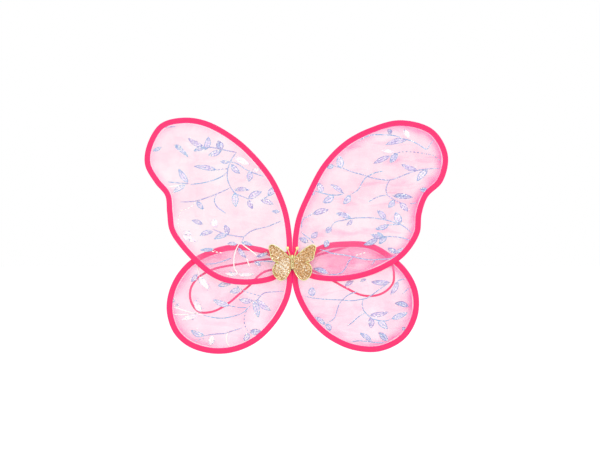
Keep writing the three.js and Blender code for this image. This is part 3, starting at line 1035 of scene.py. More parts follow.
leaves["right_upper"] = [
    (77, 151, 75, 171, 12, "blue"), (66, 155, 55, 151, 7, "blue"),
    (160, 107, 192, 104, 9, "dark"), (162, 100, 153, 88, 9, "blue"),
    (171, 96, 184, 82, 9, "blue"), (198, 148, 173, 157, 8, "blue"),
    (215, 148, 198, 130, 10, "blue"), (203, 117, 217, 116, 8, "dark"),
    (157, 205, 152, 213, 8, "dark"), (182, 196, 148, 188, 9, "blue"),
    (186, 199, 176, 212, 8, "white"), (162, 175, 140, 179, 6, "white"),
    (155, 170, 129, 158, 8, "blue"), (167, 175, 155, 159, 10, "blue"),
    (48, 112, 41, 128, 10, "blue"), (34, 114, 30, 108, 8, "blue"),
    (66, 108, 48, 96, 11, "blue"), (81, 111, 60, 125, 7, "blue"), (92, 108, 81, 94, 10, "blue"),
    (33, 78, 58, 85, 9, "blue"), (93, 72, 69, 79, 8, "blue"), (95, 68, 86, 60, 6, "blue"),
    (149, 70, 135, 84, 9, "blue"), (172, 63, 164, 81, 12, "blue"),
    (153, 60, 132, 54, 8, "blue"), (30, 40, 40, 50, 9, "blue"), (25, 33, 11, 40, 9, "dark"),
    (62, 57, 53, 48, 9, "blue"), (56, 36, 52, 25, 9, "blue"), (150, 42, 138, 30, 9, "blue"),
    (148, 41, 124, 46, 7, "blue"), (145, 42, 135, 49, 6, "blue"), (137, 40, 113, 29, 9, "dark"),
    (168, 16, 151, 24, 8, "dark"), (165, 17, 178, 23, 7, "blue"), (57, -17, 33, -9, 8, "dark"),
]
print("upper right:", len(stems["right_upper"]), "stems", len(leaves["right_upper"]), "leaves")

# %% Stems and leaves of the lower wings
stems["left_lower"] = [
    ("line", [(-14, -45), (-30, -46), (-45, -48), (-52, -54), (-56, -59), (-62, -61)]),
    ("line", [(-66, -67), (-73, -74), (-80, -80), (-95, -85), (-112, -88), (-130, -86),
              (-142, -83)]),
    ("white", [(-142, -83), (-165, -78), (-180, -73), (-189, -70)]),
    ("white", [(-189, -82), (-165, -82), (-150, -80)]),
    ("line", [(-88, -71), (-73, -71)]),
    ("dashes", [(-73, -76), (-76, -84), (-76, -98), (-72, -106), (-68, -112)]),
    ("line", [(-79, -103), (-95, -108), (-108, -112), (-120, -113), (-130, -114), (-140, -116)]),
    ("white", [(-103, -110), (-105, -118), (-104, -127), (-100, -133)]),
    ("dashes", [(-92, -32), (-82, -42), (-60, -50), (-52, -52)]),
    ("line", [(-100, -68), (-90, -70)]),
    ("white", [(-150, -5), (-150, -18)]),
    ("dashes", [(-140, -120), (-157, -125)]),
]
leaves["left_lower"] = [
    (-57, -58, -34, -76, 9, "blue"), (-62, -61, -54, -87, 10, "blue"),
    (-63, -60, -85, -58, 9, "blue"), (-150, -84, -177, -91, 9, "white"),
    (-145, -78, -155, -58, 10, "white"), (-68, -110, -50, -108, 10, "dark"),
    (-69, -112, -78, -124, 9, "blue"), (-140, -116, -162, -107, 9, "blue"),
    (-128, -116, -131, -131, 10, "white"), (-96, -30, -119, -37, 9, "blue"),
    (-82, -42, -100, -47, 9, "blue"), (-100, -68, -127, -58, 9, "blue"),
    (-148, -22, -133, -42, 10, "white"), (-152, -18, -161, -30, 8, "blue"),
    (-188, -57, -192, -64, 5, "dark"), (-181, -64, -186, -70, 5, "dark"),
]
stems["right_lower"] = [
    ("line", [(20, -53), (35, -56), (55, -58), (78, -59), (95, -60), (110, -58), (118, -56),
              (128, -50), (140, -41), (152, -33)]),
    ("line", [(80, -59), (86, -53), (95, -48), (103, -46)]),
    ("line", [(78, -60), (73, -70), (70, -80), (66, -89), (56, -95)]),
    ("line", [(113, -58), (111, -66), (113, -74), (117, -80), (125, -87), (135, -91),
              (150, -92), (158, -89)]),
    ("line", [(115, -80), (105, -86), (95, -95), (88, -100)]),
    ("line", [(168, -28), (180, -25)]),
    ("line", [(175, -49), (186, -40)]),
    ("line", [(93, -126), (105, -124), (120, -125), (135, -127), (148, -127)]),
]
leaves["right_lower"] = [
    (155, -31, 125, -30, 9, "dark"), (52, -98, 36, -86, 7, "blue"), (54, -97, 61, -108, 9, "blue"),
    (32, -53, 31, -38, 12, "pale"), (123, -83, 154, -78, 8, "blue"),
    (158, -89, 184, -79, 9, "blue"), (125, -87, 125, -104, 10, "blue"),
    (136, -92, 152, -105, 10, "blue"), (185, -69, 163, -64, 9, "dark"),
    (168, -29, 156, -51, 8, "blue"), (126, -124, 107, -111, 8, "blue"),
    (152, -124, 137, -110, 10, "dark"), (97, -29, 84, -37, 7, "blue"),
    (117, -26, 108, -30, 5, "blue"), (180, -107, 175, -102, 6, "dark"),
]
print("lower:", [len(leaves[w]) for w in ("left_lower", "right_lower")], "leaves")

# %% [markdown]
# ## Printing on the film
#
# Foil follows every ripple of the film. So each printed ribbon is laid as a flat grid, and a ray from
# the front finds the film under each of its points. Where there is no film, under the tape's fold,
# there is no foil either. A leaf is a filled blade, an outline, a midrib and side veins, as the real
# print is.

# %% Ribbons of foil
STEM_WIDTH = 1.7
DASH_WIDTH = 2.0
LEAF_LINE = 1.3
RIB_WIDTH = 1.0
VEIN_WIDTH = 0.6
FOIL_THICKNESS = 0.08
RAY_START = -0.05
NO_FOIL = -1.0


def on_film(tree, flat, lift):
    """The place on the film's front at (x, z), raised a little, or None beside the film."""
    start = Vector((flat.x * MM, RAY_START, flat.y * MM))
    hit = tree.ray_cast(start, Vector((0, 1, 0)))[0]
    if hit is None:
        return None
    return hit - Vector((0, FILM_THICKNESS / 2 + FOIL_THICKNESS + lift, 0)) * MM


def press(bm, shape):
    """Lays one foil shape: its grid counts, where its points lie, its tone and its lift."""
    tree, along, across, flat_place, tone, lift = shape
    tones = bm.verts.layers.float["tone"]
    missed = []

    def place(u, v):
        flat = flat_place(u, v)
        spot = on_film(tree, flat, lift)
        missed.append(spot is None)
        return spot or at(flat)

    verts = lay(bm, along, across, place, tone=tone)
    for vertex, off_film in zip(verts, missed):
        if off_film:
            vertex[tones] = NO_FOIL


def ribbon(tree, points, width, tone, lift=0.0, spacing=2.5):
    """A line of foil through the points, narrower at its two ends."""
    route = smooth_route(points, spacing)
    steps = len(route) - 1

    def flat_place(u, v):
        i = round(u * steps)
        half = width / 2 * (1 - 0.6 * abs(2 * u - 1) ** 8)
        return route[i] + to_the_right(direction_at(route, i)) * half * (2 * v - 1)

    return tree, steps, 1, flat_place, tone, lift


def dashed(tree, points, width, tone, dash, gap):
    """The line broken into dashes."""
    route = smooth_route(points, 1.0)
    return [
        ribbon(tree, [route[first + step] for step in (0, dash // 2, dash)], width, tone)
        for first in range(0, len(route) - dash, dash + gap)
    ]


# %% One leaf
LINE_LIFT, RIB_LIFT, VEIN_LIFT, DOT_LIFT = 0.05, 0.06, 0.07, 0.1
VEINS_AT = (0.28, 0.46, 0.64)
CURL = 0.08
STALK = 1.5


def leaf(tree, base_x, base_z, tip_x, tip_z, width, kind, chance):
    """Blade, outline, midrib and veins of one leaf, as foil shapes."""
    base, tip = Vector((base_x, base_z)), Vector((tip_x, tip_z))
    run = tip - base
    length = run.length
    way = run / length
    curl = chance.uniform(-CURL, CURL) * length

    def half_at(share):
        return width / 2 * math.sin(math.pi * min(1.0, max(0.0, share)) ** 0.85) ** 0.75

    def spot(share, side):
        return base + run * share + to_the_right(way) * (side + curl * math.sin(math.pi * share))

    def blade(u, v):
        return spot(u, (half_at(u) - LEAF_LINE / 3) * (2 * v - 1) if 0 < u < 1 else 0)

    def outline(u, v):
        share = 1 - abs(2 * u - 1)
        side = 1 if u < 0.5 else -1
        inner = 0.5 + (share - 0.5) * (1 - 2 * v * LEAF_LINE * 1.4 / length)
        return spot(inner, side * max(0.0, half_at(share) - v * LEAF_LINE))

    blue = chance.uniform(BLUE_TONE, LILAC_TONE)
    # A white leaf is painted in the cream-white glint tone, as reflected light.
    line_tone, fill_tone = {
        "blue": (blue, PALE_TONE), "dark": (LILAC_TONE + 0.1, BLUE_TONE - 0.1),
        "pale": (BLUE_TONE, PALE_TONE - 0.05), "white": (PALE_TONE - 0.08, PAINTED_GLINT_TONE),
    }[kind]
    rib = [base - way * STALK, spot(0.4, 0), spot(0.82, 0)]
    shapes = [
        (tree, 8, 4, blade, fill_tone, 0.0),
        (tree, 24, 1, outline, line_tone, LINE_LIFT),
        ribbon(tree, rib, RIB_WIDTH, line_tone, RIB_LIFT),
    ]
    for share in VEINS_AT:
        for side in (-1, 1):
            reach = side * half_at(share + 0.1) * 0.8
            ends = [spot(share, 0), spot(share + 0.08, reach / 2), spot(share + 0.14, reach)]
            shapes.append(ribbon(tree, ends, VEIN_WIDTH, line_tone, VEIN_LIFT))
    return shapes


# %% Painted glint specks, and the print of each wing
# The left wings get more painted glints, as the light falls brighter on their foil.
GLINT_SPECKS_PER_LEAF = {"left_upper": 7, "left_lower": 14, "right_upper": 2, "right_lower": 3}
DASH, DASH_GAP = 4, 2


def glint_and_foil_specks(tree, row, count, chance):
    """Specks scattered over a leaf: cream-white ones, painted glints of reflected light, or blue and
    lilac foil specks on a leaf painted white as a glint.
    """
    base, tip = Vector(row[0:2]), Vector(row[2:4])
    width, kind = row[4:6]
    shapes = []
    for _ in range(count):
        middle = base.lerp(tip, chance.uniform(0.0, 1.0))
        middle += Vector((chance.uniform(-1, 1), chance.uniform(-1, 1))) * width / 2
        size = chance.uniform(0.7, 1.7)
        end = middle + Vector((size, chance.uniform(-size, size)))
        tone = chance.choice([BLUE_TONE, LILAC_TONE]) if kind == "white" else PAINTED_GLINT_TONE
        ends = [middle, (middle + end) / 2, end]
        shapes.append(ribbon(tree, ends, size, tone, DOT_LIFT, size / 2))
    return shapes


def print_of(wing):
    tree = film_trees[wing]
    chance = random.Random(wing)
    shapes = []
    for style, points in stems[wing]:
        # White stems are painted in the cream-white glint tone, as reflected light.
        tone = PAINTED_GLINT_TONE + 0.04 if "white" in style else chance.uniform(BLUE_TONE, LILAC_TONE)
        if "dashes" in style:
            shapes += dashed(tree, points, DASH_WIDTH, tone, DASH, DASH_GAP)
        else:
            shapes.append(ribbon(tree, points, STEM_WIDTH, tone))
    for row in leaves[wing]:
        shapes += leaf(tree, *row, chance)
        shapes += glint_and_foil_specks(tree, row, GLINT_SPECKS_PER_LEAF[wing], chance)
    bm = in_batches(shapes, press)
    tones = bm.verts.layers.float["tone"]
    beside = [vertex for vertex in bm.verts if vertex[tones] < 0]
    bmesh.ops.delete(bm, geom=beside, context="VERTS")
    bmesh.ops.remove_doubles(bm, verts=bm.verts, dist=0.002 * MM)
    made = piece(f"{body_of(wing)}_foil_print", bm, FOIL, body_of(wing))
    thicken(made, FOIL_THICKNESS * MM, 0)


for wing in wing_edges:
    print_of(wing)

# %% [markdown]
# ## Finish: wire, crimp, card and gold
#
# The wires are springy steel and each loop is closed by a crimped sleeve. Both shapes are right in the
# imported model, so those nodes stay and only get a finish. The pad's front plate is felted card.
# Metal is a plain metallic shader whose roughness and colour wander a little, with fine drawn lines
# along the wire.

# %% Metal and card materials
def drawn_metal(name, main, other, lines_per_m, roughness):
    material, tree, shader = new_material(name, Metallic=1.0)
    place = object_place(tree)
    colour = use(tree, UNEVEN_COLOUR, Place=place, Patches_per_m=120.0, Amount=0.7,
                 Main=main, Other=other)
    worn = spread(tree, colour["Patch"], to_low=roughness, to_high=roughness + 0.18)
    scratches = clouds(tree, place, lines_per_m, 3.0, 0.7)
    feed(tree, shader, Base_Color=colour["Color"], Roughness=worn,
         Normal=bump(tree, scratches, 0.02 * MM))
    return material


def felted_card():
    material, tree, shader = new_material("pink felted card", Roughness=0.95, Sheen_Weight=0.3)
    place = object_place(tree)
    colour = use(tree, UNEVEN_COLOUR, Place=place, Patches_per_m=260.0, Amount=0.8,
                 Main=(0.92, 0.30, 0.45), Other=(0.82, 0.20, 0.36))
    fibres = clouds(tree, place, 2600.0, 4.0)
    feed(tree, shader, Base_Color=colour["Color"], Normal=bump(tree, fibres, 0.1 * MM))
    return material


STEEL = drawn_metal("spring steel wire", (0.55, 0.56, 0.58), (0.42, 0.42, 0.44), 1800.0, 0.28)
CRIMP = drawn_metal("crimped sleeve", (0.66, 0.62, 0.55), (0.5, 0.46, 0.4), 900.0, 0.35)
GOLD = drawn_metal("pale gold", (0.84, 0.86, 0.42), (0.76, 0.76, 0.33), 1400.0, 0.3)
CARD = felted_card()


def dress(node, material):
    """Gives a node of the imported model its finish."""
    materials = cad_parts[node].data.materials
    materials.clear()
    materials.append(material)


for wing in wing_edges:
    dress(f"{body_of(wing)}_wire", STEEL)
    dress(f"{body_of(wing)}_wire_sleeve", CRIMP)
dress("back_pad_front_plate", CARD)
print("dressed:", STEEL.name, CRIMP.name, CARD.name)

# %% [markdown]
# ## Back pad
#
# The pad that lies between the shoulder blades is a small satin cushion over foam. It starts as a
# block whose upright corners are rounded. Its rear face is then inset again and again, and each ring
# is moved out for the crown or in for the sewn channel that runs round it. Its front face gets only
# the first few rings. Deeper pink piping covers the edge.

# %% The padded cushion
PAD = (40, 4.1, 34)
PAD_CORNER = 9
PAD_EDGE = 1.3
PAD_RINGS = [(1.6, 0.25), (1.1, 0.12), (0.5, -0.7), (0.5, 0.05), (0.6, 0.6), (2.2, 0.6), (1.0, 0.2)]
PAD_CROWN = 0.7
FRONT_RINGS = 3
FRONT_SHARE = 0.3


def box(bm, size, middle):
    """A block of this size about this middle, in millimetres."""
    verts = bmesh.ops.create_cube(bm, size=1)["verts"]
    bmesh.ops.scale(bm, verts=verts, vec=[side * MM for side in size])
    bmesh.ops.translate(bm, verts=verts, vec=[place * MM for place in middle])


def round_off(bm, radius, segments, chosen):
    """Rounds the edges that run as far from front to back, in metres, as chosen() accepts."""
    edges = [e for e in bm.edges if chosen(abs(e.verts[0].co.y - e.verts[1].co.y))]
    bmesh.ops.bevel(
        bm, geom=edges, offset=radius * MM, segments=segments, profile=0.5, material=-1,
        affect="EDGES",
    )


def pad_cushion():
    bm = new_mesh()
    box(bm, PAD, (0, -PAD[1] / 2, 0))
    round_off(bm, PAD_CORNER, 8, lambda deep: deep > MM)
    round_off(bm, PAD_EDGE, 3, lambda deep: deep < JOIN_GAP)
    bmesh.ops.recalc_face_normals(bm, faces=bm.faces)
    for facing, rings, share in ((-1, PAD_RINGS[:FRONT_RINGS], FRONT_SHARE), (1, PAD_RINGS, 1)):
        middle = max(bm.faces, key=lambda f: f.normal.y * facing * f.calc_area())
        for step, rise in rings:
            bmesh.ops.inset_region(bm, faces=[middle], thickness=step * MM, depth=0)
            bmesh.ops.translate(bm, verts=middle.verts, vec=(0, facing * rise * MM * share, 0))
    # The rear's middle face came last, and rises to the top of the crown.
    bmesh.ops.poke(bm, faces=[middle], offset=PAD_CROWN * MM)
    cloth = bm.loops.layers.uv["cloth"]
    for face in bm.faces:
        for loop in face.loops:
            loop[cloth].uv = (loop.vert.co.x / CM, loop.vert.co.z / CM)
    made = piece("back_pad_cushion", bm, PAD_SATIN, "centre")
    rounder = made.modifiers.new("soft", "SUBSURF")
    rounder.levels = rounder.render_levels = 2
    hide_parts("back_pad_rear_cover", "back_pad_foam")


pad_cushion()


# %% Piping and the sewn channel
CORNER_STEPS = 8
PIPING_RADIUS = 0.75
CHANNEL_INSET = 2.9


def rounded_rectangle(width, height, corner, spacing):
    """A closed clockwise route round a rectangle with round corners, as (x, z) points."""
    line = []
    for turn, (x, z) in enumerate(((1, 1), (1, -1), (-1, -1), (-1, 1))):
        centre = Vector((x * (width / 2 - corner), z * (height / 2 - corner)))
        for i in range(CORNER_STEPS + 1):
            angle = math.pi / 2 * (1 - turn - i / CORNER_STEPS)
            line.append(centre + Vector((math.cos(angle), math.sin(angle))) * corner)
    return evenly_spaced([*line, line[0]], spacing)


def tube(bm, route, depth, radius, sides, ripple=lambda u, v: 0.0):
    """A round cord laid along a flat route, in millimetres, with an optional ripple."""
    steps = len(route) - 1
    line = [Vector((p.x, depth, p.y)) for p in route]

    def place(u, v):
        return round_section(line, round(u * steps), math.tau * v, radius + ripple(u, v)) * MM

    lay(bm, steps, sides, place, (length_of(line) * MM, math.tau * radius * MM))


bm = new_mesh()
around = rounded_rectangle(PAD[0] + 0.2, PAD[2] + 0.2, PAD_CORNER, 0.8)
tube(bm, around, -PAD[1] / 2, PIPING_RADIUS, 10,
     lambda u, v: 0.05 * math.sin(math.tau * (u * 60 + v)))
close_up(bm)
piece("back_pad_piping", bm, PIPING_SATIN, "centre")

channel = rounded_rectangle(
    PAD[0] - 2 * CHANNEL_INSET, PAD[2] - 2 * CHANNEL_INSET, PAD_CORNER - CHANNEL_INSET, 2.2
)
channel_stitches = [
    (at(a.lerp(b, 0.14), 0.02), at(a.lerp(b, 0.86), 0.02), STITCH_THICK * MM)
    for a, b in zip(channel, channel[1:])
]
piece("back_pad_stitches", in_batches(channel_stitches, sew), THREAD, "centre")

# %% [markdown]
# ## Keepers
#
# A short ribbon loop is sewn to each edge of the pad, and the elastic runs through it. It is a grid
# laid round the elastic and back to the pad, and a bar tack of close stitches holds it shut.

# %% Ribbon keepers with their bar tacks
KEEPER_RADIUS = 2.45
KEEPER_START = 20.3
KEEPER_STEP = 0.35
TACK_X = 21.2
TACK_HALF = 0.7
TACK_THICK = 0.36
TACKS = 9


def keeper(name, side):
    middle_y = ELASTIC_Y / MM
    faces_y = (middle_y - KEEPER_RADIUS, middle_y + KEEPER_RADIUS)
    bend = [
        (KEEPER_X + KEEPER_RADIUS * math.cos(a), middle_y + KEEPER_RADIUS * math.sin(a))
        for a in (math.radians(d) for d in range(-75, 90, 15))
    ]
    route = smooth_route([
        (KEEPER_START, faces_y[0]), (KEEPER_X, faces_y[0]), *bend,
        (KEEPER_X, faces_y[1]), (KEEPER_START, faces_y[1]),
    ], KEEPER_STEP)
    steps = len(route) - 1

    def place(u, v):
        point = route[round(u * steps)]
        rib = 0.05 * math.cos(math.tau * v * 5)
        z = KEEPER_Z + KEEPER_HALF * (2 * v - 1)
        return Vector((side * point.x, point.y - rib, z)) * MM

    bm = new_mesh()
    lay(bm, steps, 20, place, (steps * KEEPER_STEP * MM, 2 * KEEPER_HALF * MM))
    made = piece(f"{name}_ribbon_keeper", bm, PAD_SATIN, "centre")
    thicken(made, 0.5 * MM, 0)
    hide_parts(f"{name}_arm_loop_keeper")
    tacks = []
    for y in (faces_y[0] - 0.3, faces_y[1] + 0.3):
        for i in range(TACKS):
            z = KEEPER_Z + KEEPER_HALF * 0.8 * (2 * i / (TACKS - 1) - 1)
            ends = [Vector((side * (TACK_X + s), y, z)) * MM for s in (-TACK_HALF, TACK_HALF)]
            tacks.append((*ends, TACK_THICK * MM))
    piece(f"{name}_keeper_bar_tack", in_batches(tacks, sew), THREAD, "centre")


for name, side in SIDES.items():
    keeper(name, side)

# %% [markdown]
# ## Thread shank
#
# Strong thread is wound round and round between the pad and the butterfly, and binds the wires. One
# long helix with flat sides and round corners stands for its turns.

# %% The wound shank
SHANK = (3.2, 4.6)
SHANK_FROM, SHANK_TO = -5.3, -14.8
TIE_DROP = 4.2
THREAD_RADIUS = 0.3
STEPS_PER_TURN = 20


def wound_shank():
    depth = SHANK_FROM - SHANK_TO
    steps = round(depth / (2 * THREAD_RADIUS * 0.95)) * STEPS_PER_TURN
    line = []
    for i in range(steps + 1):
        angle = math.tau * i / STEPS_PER_TURN
        x, z = (math.copysign(abs(t) ** 0.6, t) for t in (math.cos(angle), math.sin(angle)))
        line.append(Vector((
            x * (SHANK[0] / 2 - THREAD_RADIUS),
            SHANK_FROM + (SHANK_TO - SHANK_FROM) * i / steps,
            z * (SHANK[1] / 2 - THREAD_RADIUS) - TIE_DROP,
        )))
    bm = new_mesh()

    def place(u, v):
        i = round(u * steps)
        way = direction_at(line, i)
        side = way.cross(Vector((0, 1, 0))).normalized()
        turn = math.tau * v
        section = side * math.cos(turn) + way.cross(side) * math.sin(turn)
        return (line[i] + section * THREAD_RADIUS) * MM

    lay(bm, steps, 6, place)
    close_up(bm, capped=True)
    box(bm, (SHANK[0] - 1, depth, SHANK[1] - 1), (0, (SHANK_FROM + SHANK_TO) / 2, -TIE_DROP))
    made = piece("wound_thread_shank", bm, THREAD, "centre")
    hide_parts("centre_tie")


wound_shank()

# %% [markdown]
# ## Finish: glitter
#
# Glitter is thousands of tiny foil flakes at every angle. Each flake here is real, a few faces each,
# and carries its own tone, from bronze to nearly white. Under them the backing cloth has the same
# colours as small printed facets, so that no gap looks bare.

# %% Glitter material
GLITTER_COLOURS = [
    (0.2, (0.36, 0.16, 0.05)), (0.4, (0.68, 0.36, 0.14)), (0.52, (0.88, 0.59, 0.3)),
    (0.66, (0.99, 0.83, 0.57)), (0.8, (1.0, 0.98, 0.88)),
]


def gold_glitter():
    material, tree, shader = new_material("gold glitter")
    sparkle = use(tree, SPARKLE, Place=object_place(tree), Facets_per_m=1300.0)["Brightness"]
    tone = spread(tree, math_node(tree, "ADD", tone_of(tree), sparkle), high=2.0)
    feed(
        tree, shader, Base_Color=ramp(tree, tone, GLITTER_COLOURS),
        Roughness=spread(tree, sparkle, to_low=0.5, to_high=0.15),
        Metallic=spread(tree, tone, to_low=0.9, to_high=0.6),
        Normal=bump(tree, sparkle, 0.1 * MM),
    )
    return material


GLITTER = gold_glitter()
print("made:", GLITTER.name)

# %% [markdown]
# ## Butterfly
#
# The butterfly is gold card with a raised round rim, filled with glitter. Its two halves bend beside a
# narrow sewn strip. Each half is drawn flat, given its thickness, and then turned a few degrees
# forward about the bend line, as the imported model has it.

# %% The flat shapes of the butterfly
BUTTERFLY_Y = -15.4
BEND_X = 2.1
RAISE = math.radians(12)
PLATE = 0.8
RIM = 1.3
RIM_DEPTH = -0.8
RIM_STARTS = 2
BEND_GAP = 0.5
GLITTER_FRONT = -1.15
BED_BACK = -0.2
OUTLINE_STEP = 0.9
ANTENNA_RADIUS = 0.8
ANTENNA_DEPTH = -0.3
ANTENNA_BALL = (2.7, 1.0, 2.7)

lobe_points = [
    (2.2, 7.6), (12.5, 17.6), (22, 25.2), (33, 29.8), (37.6, 26.2), (35.8, 16), (33.2, 6.2),
    (28.6, 2.8), (23, 1.2), (27.4, -1.4), (31, -7), (31, -15), (27, -22.6), (19.4, -27.8),
    (12, -25.8), (5.6, -18), (2.2, -11),
]
antenna_points = [(3, 6.6), (3.5, 10.6), (4.9, 15.6), (7.8, 23.6)]


def flattened(points):
    """Points seen from the front, laid out flat from the bend line."""
    return [((x - BEND_X) / math.cos(RAISE), z) for x, z in points]


def plate(bm, outline, back, front):
    """A flat plate with this outline."""
    verts = [bm.verts.new(at(p, back)) for p in outline]
    bmesh.ops.contextual_create(bm, geom=verts)
    grown = bmesh.ops.extrude_face_region(bm, geom=[verts[0].link_faces[0]])["geom"]
    moved = [g for g in grown if isinstance(g, bmesh.types.BMVert)]
    bmesh.ops.translate(bm, verts=moved, vec=(0, (front - back) * MM, 0))
    bmesh.ops.recalc_face_normals(bm, faces=bm.faces)


def bead(bm, middle, radii):
    """A ball stretched to three radii in millimetres, about a middle in metres."""
    place = Matrix.Translation(middle) @ Matrix.Diagonal((*radii, 1)) @ Matrix.Scale(MM, 4)
    bmesh.ops.create_uvsphere(bm, u_segments=20, v_segments=12, radius=1, matrix=place)


def stand_forward(bm, side):
    """Turns a flat half about its bend line to its place on the left or right."""
    if side < 0:
        bmesh.ops.scale(bm, verts=bm.verts, vec=(-1, 1, 1))
        bmesh.ops.reverse_faces(bm, faces=bm.faces)
    turn = Matrix.Rotation(-side * RAISE, 4, "Z")
    place = Matrix.Translation(Vector((side * BEND_X, BUTTERFLY_Y, 0)) * MM)
    bmesh.ops.transform(bm, matrix=place @ turn, verts=bm.verts)


# %% Gold halves with rims and antennae
lobe_outline = smooth_route(flattened(lobe_points), OUTLINE_STEP)
beside_bend = slice(RIM_STARTS, -RIM_STARTS)


def gold_half(name, side):
    bm = new_mesh()
    plate(bm, lobe_outline, PLATE / 2, -PLATE / 2)
    tube(bm, moved_in(lobe_outline, RIM / 2)[beside_bend], RIM_DEPTH, RIM / 2, 16)
    close_up(bm, capped=True)
    stand_forward(bm, side)
    made = piece(f"butterfly_{name}_gold_half", bm, GOLD, f"{name}_lobe", False)
    softer = made.modifiers.new("soft edge", "BEVEL")
    softer.width, softer.segments, softer.limit_method = 0.12 * MM, 2, "ANGLE"
    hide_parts(f"butterfly_{name}_lobe_backing")


def antenna(name, side):
    route = smooth_route(flattened(antenna_points), 0.8)
    bm = new_mesh()
    tube(bm, route, ANTENNA_DEPTH, ANTENNA_RADIUS, 12)
    close_up(bm, capped=True)
    bead(bm, at(route[-1]), ANTENNA_BALL)
    stand_forward(bm, side)
    piece(f"butterfly_{name}_antenna", bm, GOLD, f"{name}_lobe")


for name, side in SIDES.items():
    gold_half(name, side)
    antenna(name, side)

# %% Glitter beds and their flakes
FLAKE_SIZE = 0.66
FLAKE_SIZES = (0.7, 1.25)
FLAKE_THICK = 0.09
FLAKE_PILE = 0.15
FLAKES_PER_MM2 = 1.3
FLAKE_TILT = 0.25
TONE_SPREAD = 0.22
# The left half's flakes are painted lighter, and one spot on it lighter still: painted highlight where
# the light falls.
LIT_HALF_TONE = {"left": 0.47, "right": 0.38}
CLUMPS_PER_MM, CLUMP_CONTRAST = 0.5, 0.8
LIT_SPOT, LIT_RADIUS, LIT_MORE = Vector((12, -7)), 17, 0.75


def inside(outline, spot):
    """True when a spot lies inside a closed outline."""
    crossed = False
    for a, b in zip(outline, [*outline[1:], outline[0]]):
        if (a.y > spot.y) != (b.y > spot.y):
            if spot.x < a.x + (b.x - a.x) * (spot.y - a.y) / (b.y - a.y):
                crossed = not crossed
    return crossed


def scattered(within, chance):
    """Seeded random spots inside an outline."""
    xs, zs = [p.x for p in within], [p.y for p in within]
    area = (max(xs) - min(xs)) * (max(zs) - min(zs))
    spots = []
    for _ in range(round(area * FLAKES_PER_MM2)):
        spot = Vector((chance.uniform(min(xs), max(xs)), chance.uniform(min(zs), max(zs))))
        if inside(within, spot):
            spots.append(spot)
    return spots


def flake(bm, item):
    """One thin five-sided flake, tilted its own way."""
    spot, front, tilt, size, tone = item
    stand = Matrix.Rotation(math.pi / 2 + tilt.x, 4, "X") @ Matrix.Rotation(tilt.y, 4, "Y")
    made = bmesh.ops.create_cone(
        bm, cap_ends=True, segments=5, radius1=size * MM, radius2=size * 0.9 * MM,
        depth=FLAKE_THICK * MM, matrix=Matrix.Translation(at(spot, front)) @ stand,
    )
    tones = bm.verts.layers.float["tone"]
    for vertex in made["verts"]:
        vertex[tones] = tone


def flakes_on(outline, margin, front, chance, brightness):
    """Flakes scattered inside an outline, clear of its edge by a margin."""
    items = []
    for spot in scattered(moved_in(outline, margin), chance):
        tilt = Vector((chance.gauss(0, FLAKE_TILT), chance.gauss(0, FLAKE_TILT)))
        tone = min(1.0, max(0.0, chance.gauss(brightness(spot), TONE_SPREAD)))
        size = FLAKE_SIZE * chance.uniform(*FLAKE_SIZES)
        items.append((spot, front - chance.uniform(0, FLAKE_PILE), tilt, size, tone))
    return in_batches(items, flake)


def glitter_outline(outline):
    """The outline inside the rim. The bend has no rim, so there it runs nearly to the edge."""
    within = moved_in(outline, RIM)
    return [*within, Vector((BEND_GAP, within[-1].y)), Vector((BEND_GAP, within[0].y))]


def glitter_piece(name, bm, body):
    return piece(name, bm, GLITTER, body, smooth=False)


def lobe_glitter(name, side):
    bed = new_mesh()
    plate(bed, glitter_outline(lobe_outline), BED_BACK, GLITTER_FRONT)
    stand_forward(bed, side)
    made = glitter_piece(f"butterfly_{name}_glitter_bed", bed, f"{name}_lobe")
    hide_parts(f"butterfly_{name}_lobe_glitter")

    def brightness(spot):
        """Flakes lie in brighter and darker clumps. The left half is painted lighter, with one
        brighter patch: painted highlight where the light falls.
        """
        clump = noise.noise(Vector((*(spot * CLUMPS_PER_MM), side * 7.0))) * CLUMP_CONTRAST
        near = max(0.0, 1 - (spot - LIT_SPOT).length / LIT_RADIUS) if side < 0 else 0.0
        return LIT_HALF_TONE[name] + clump + LIT_MORE * near

    flakes = flakes_on(lobe_outline, RIM + 0.5, GLITTER_FRONT, random.Random(name), brightness)
    stand_forward(flakes, side)
    glitter_piece(f"butterfly_{name}_glitter_flakes", flakes, f"{name}_lobe")


for name, side in SIDES.items():
    lobe_glitter(name, side)

# %% The sewn strip down the middle
STRIP_WIDTH = 3.6
STRIP_TOP, STRIP_FOOT = 13, -9.6
STRIP_RIM = 0.95
STRIP_STEP = 0.5
STRIP_FLAKES_TOP = 8.2
KNOB = (1.6, 1.0, 3.2)
KNOB_Z = 10


def strip_outline(width, height, corner):
    """A flat rounded outline about the middle of the strip."""
    middle = Vector((0, (STRIP_TOP + STRIP_FOOT) / 2))
    return [p + middle for p in rounded_rectangle(width, height, corner, STRIP_STEP)][:-1]


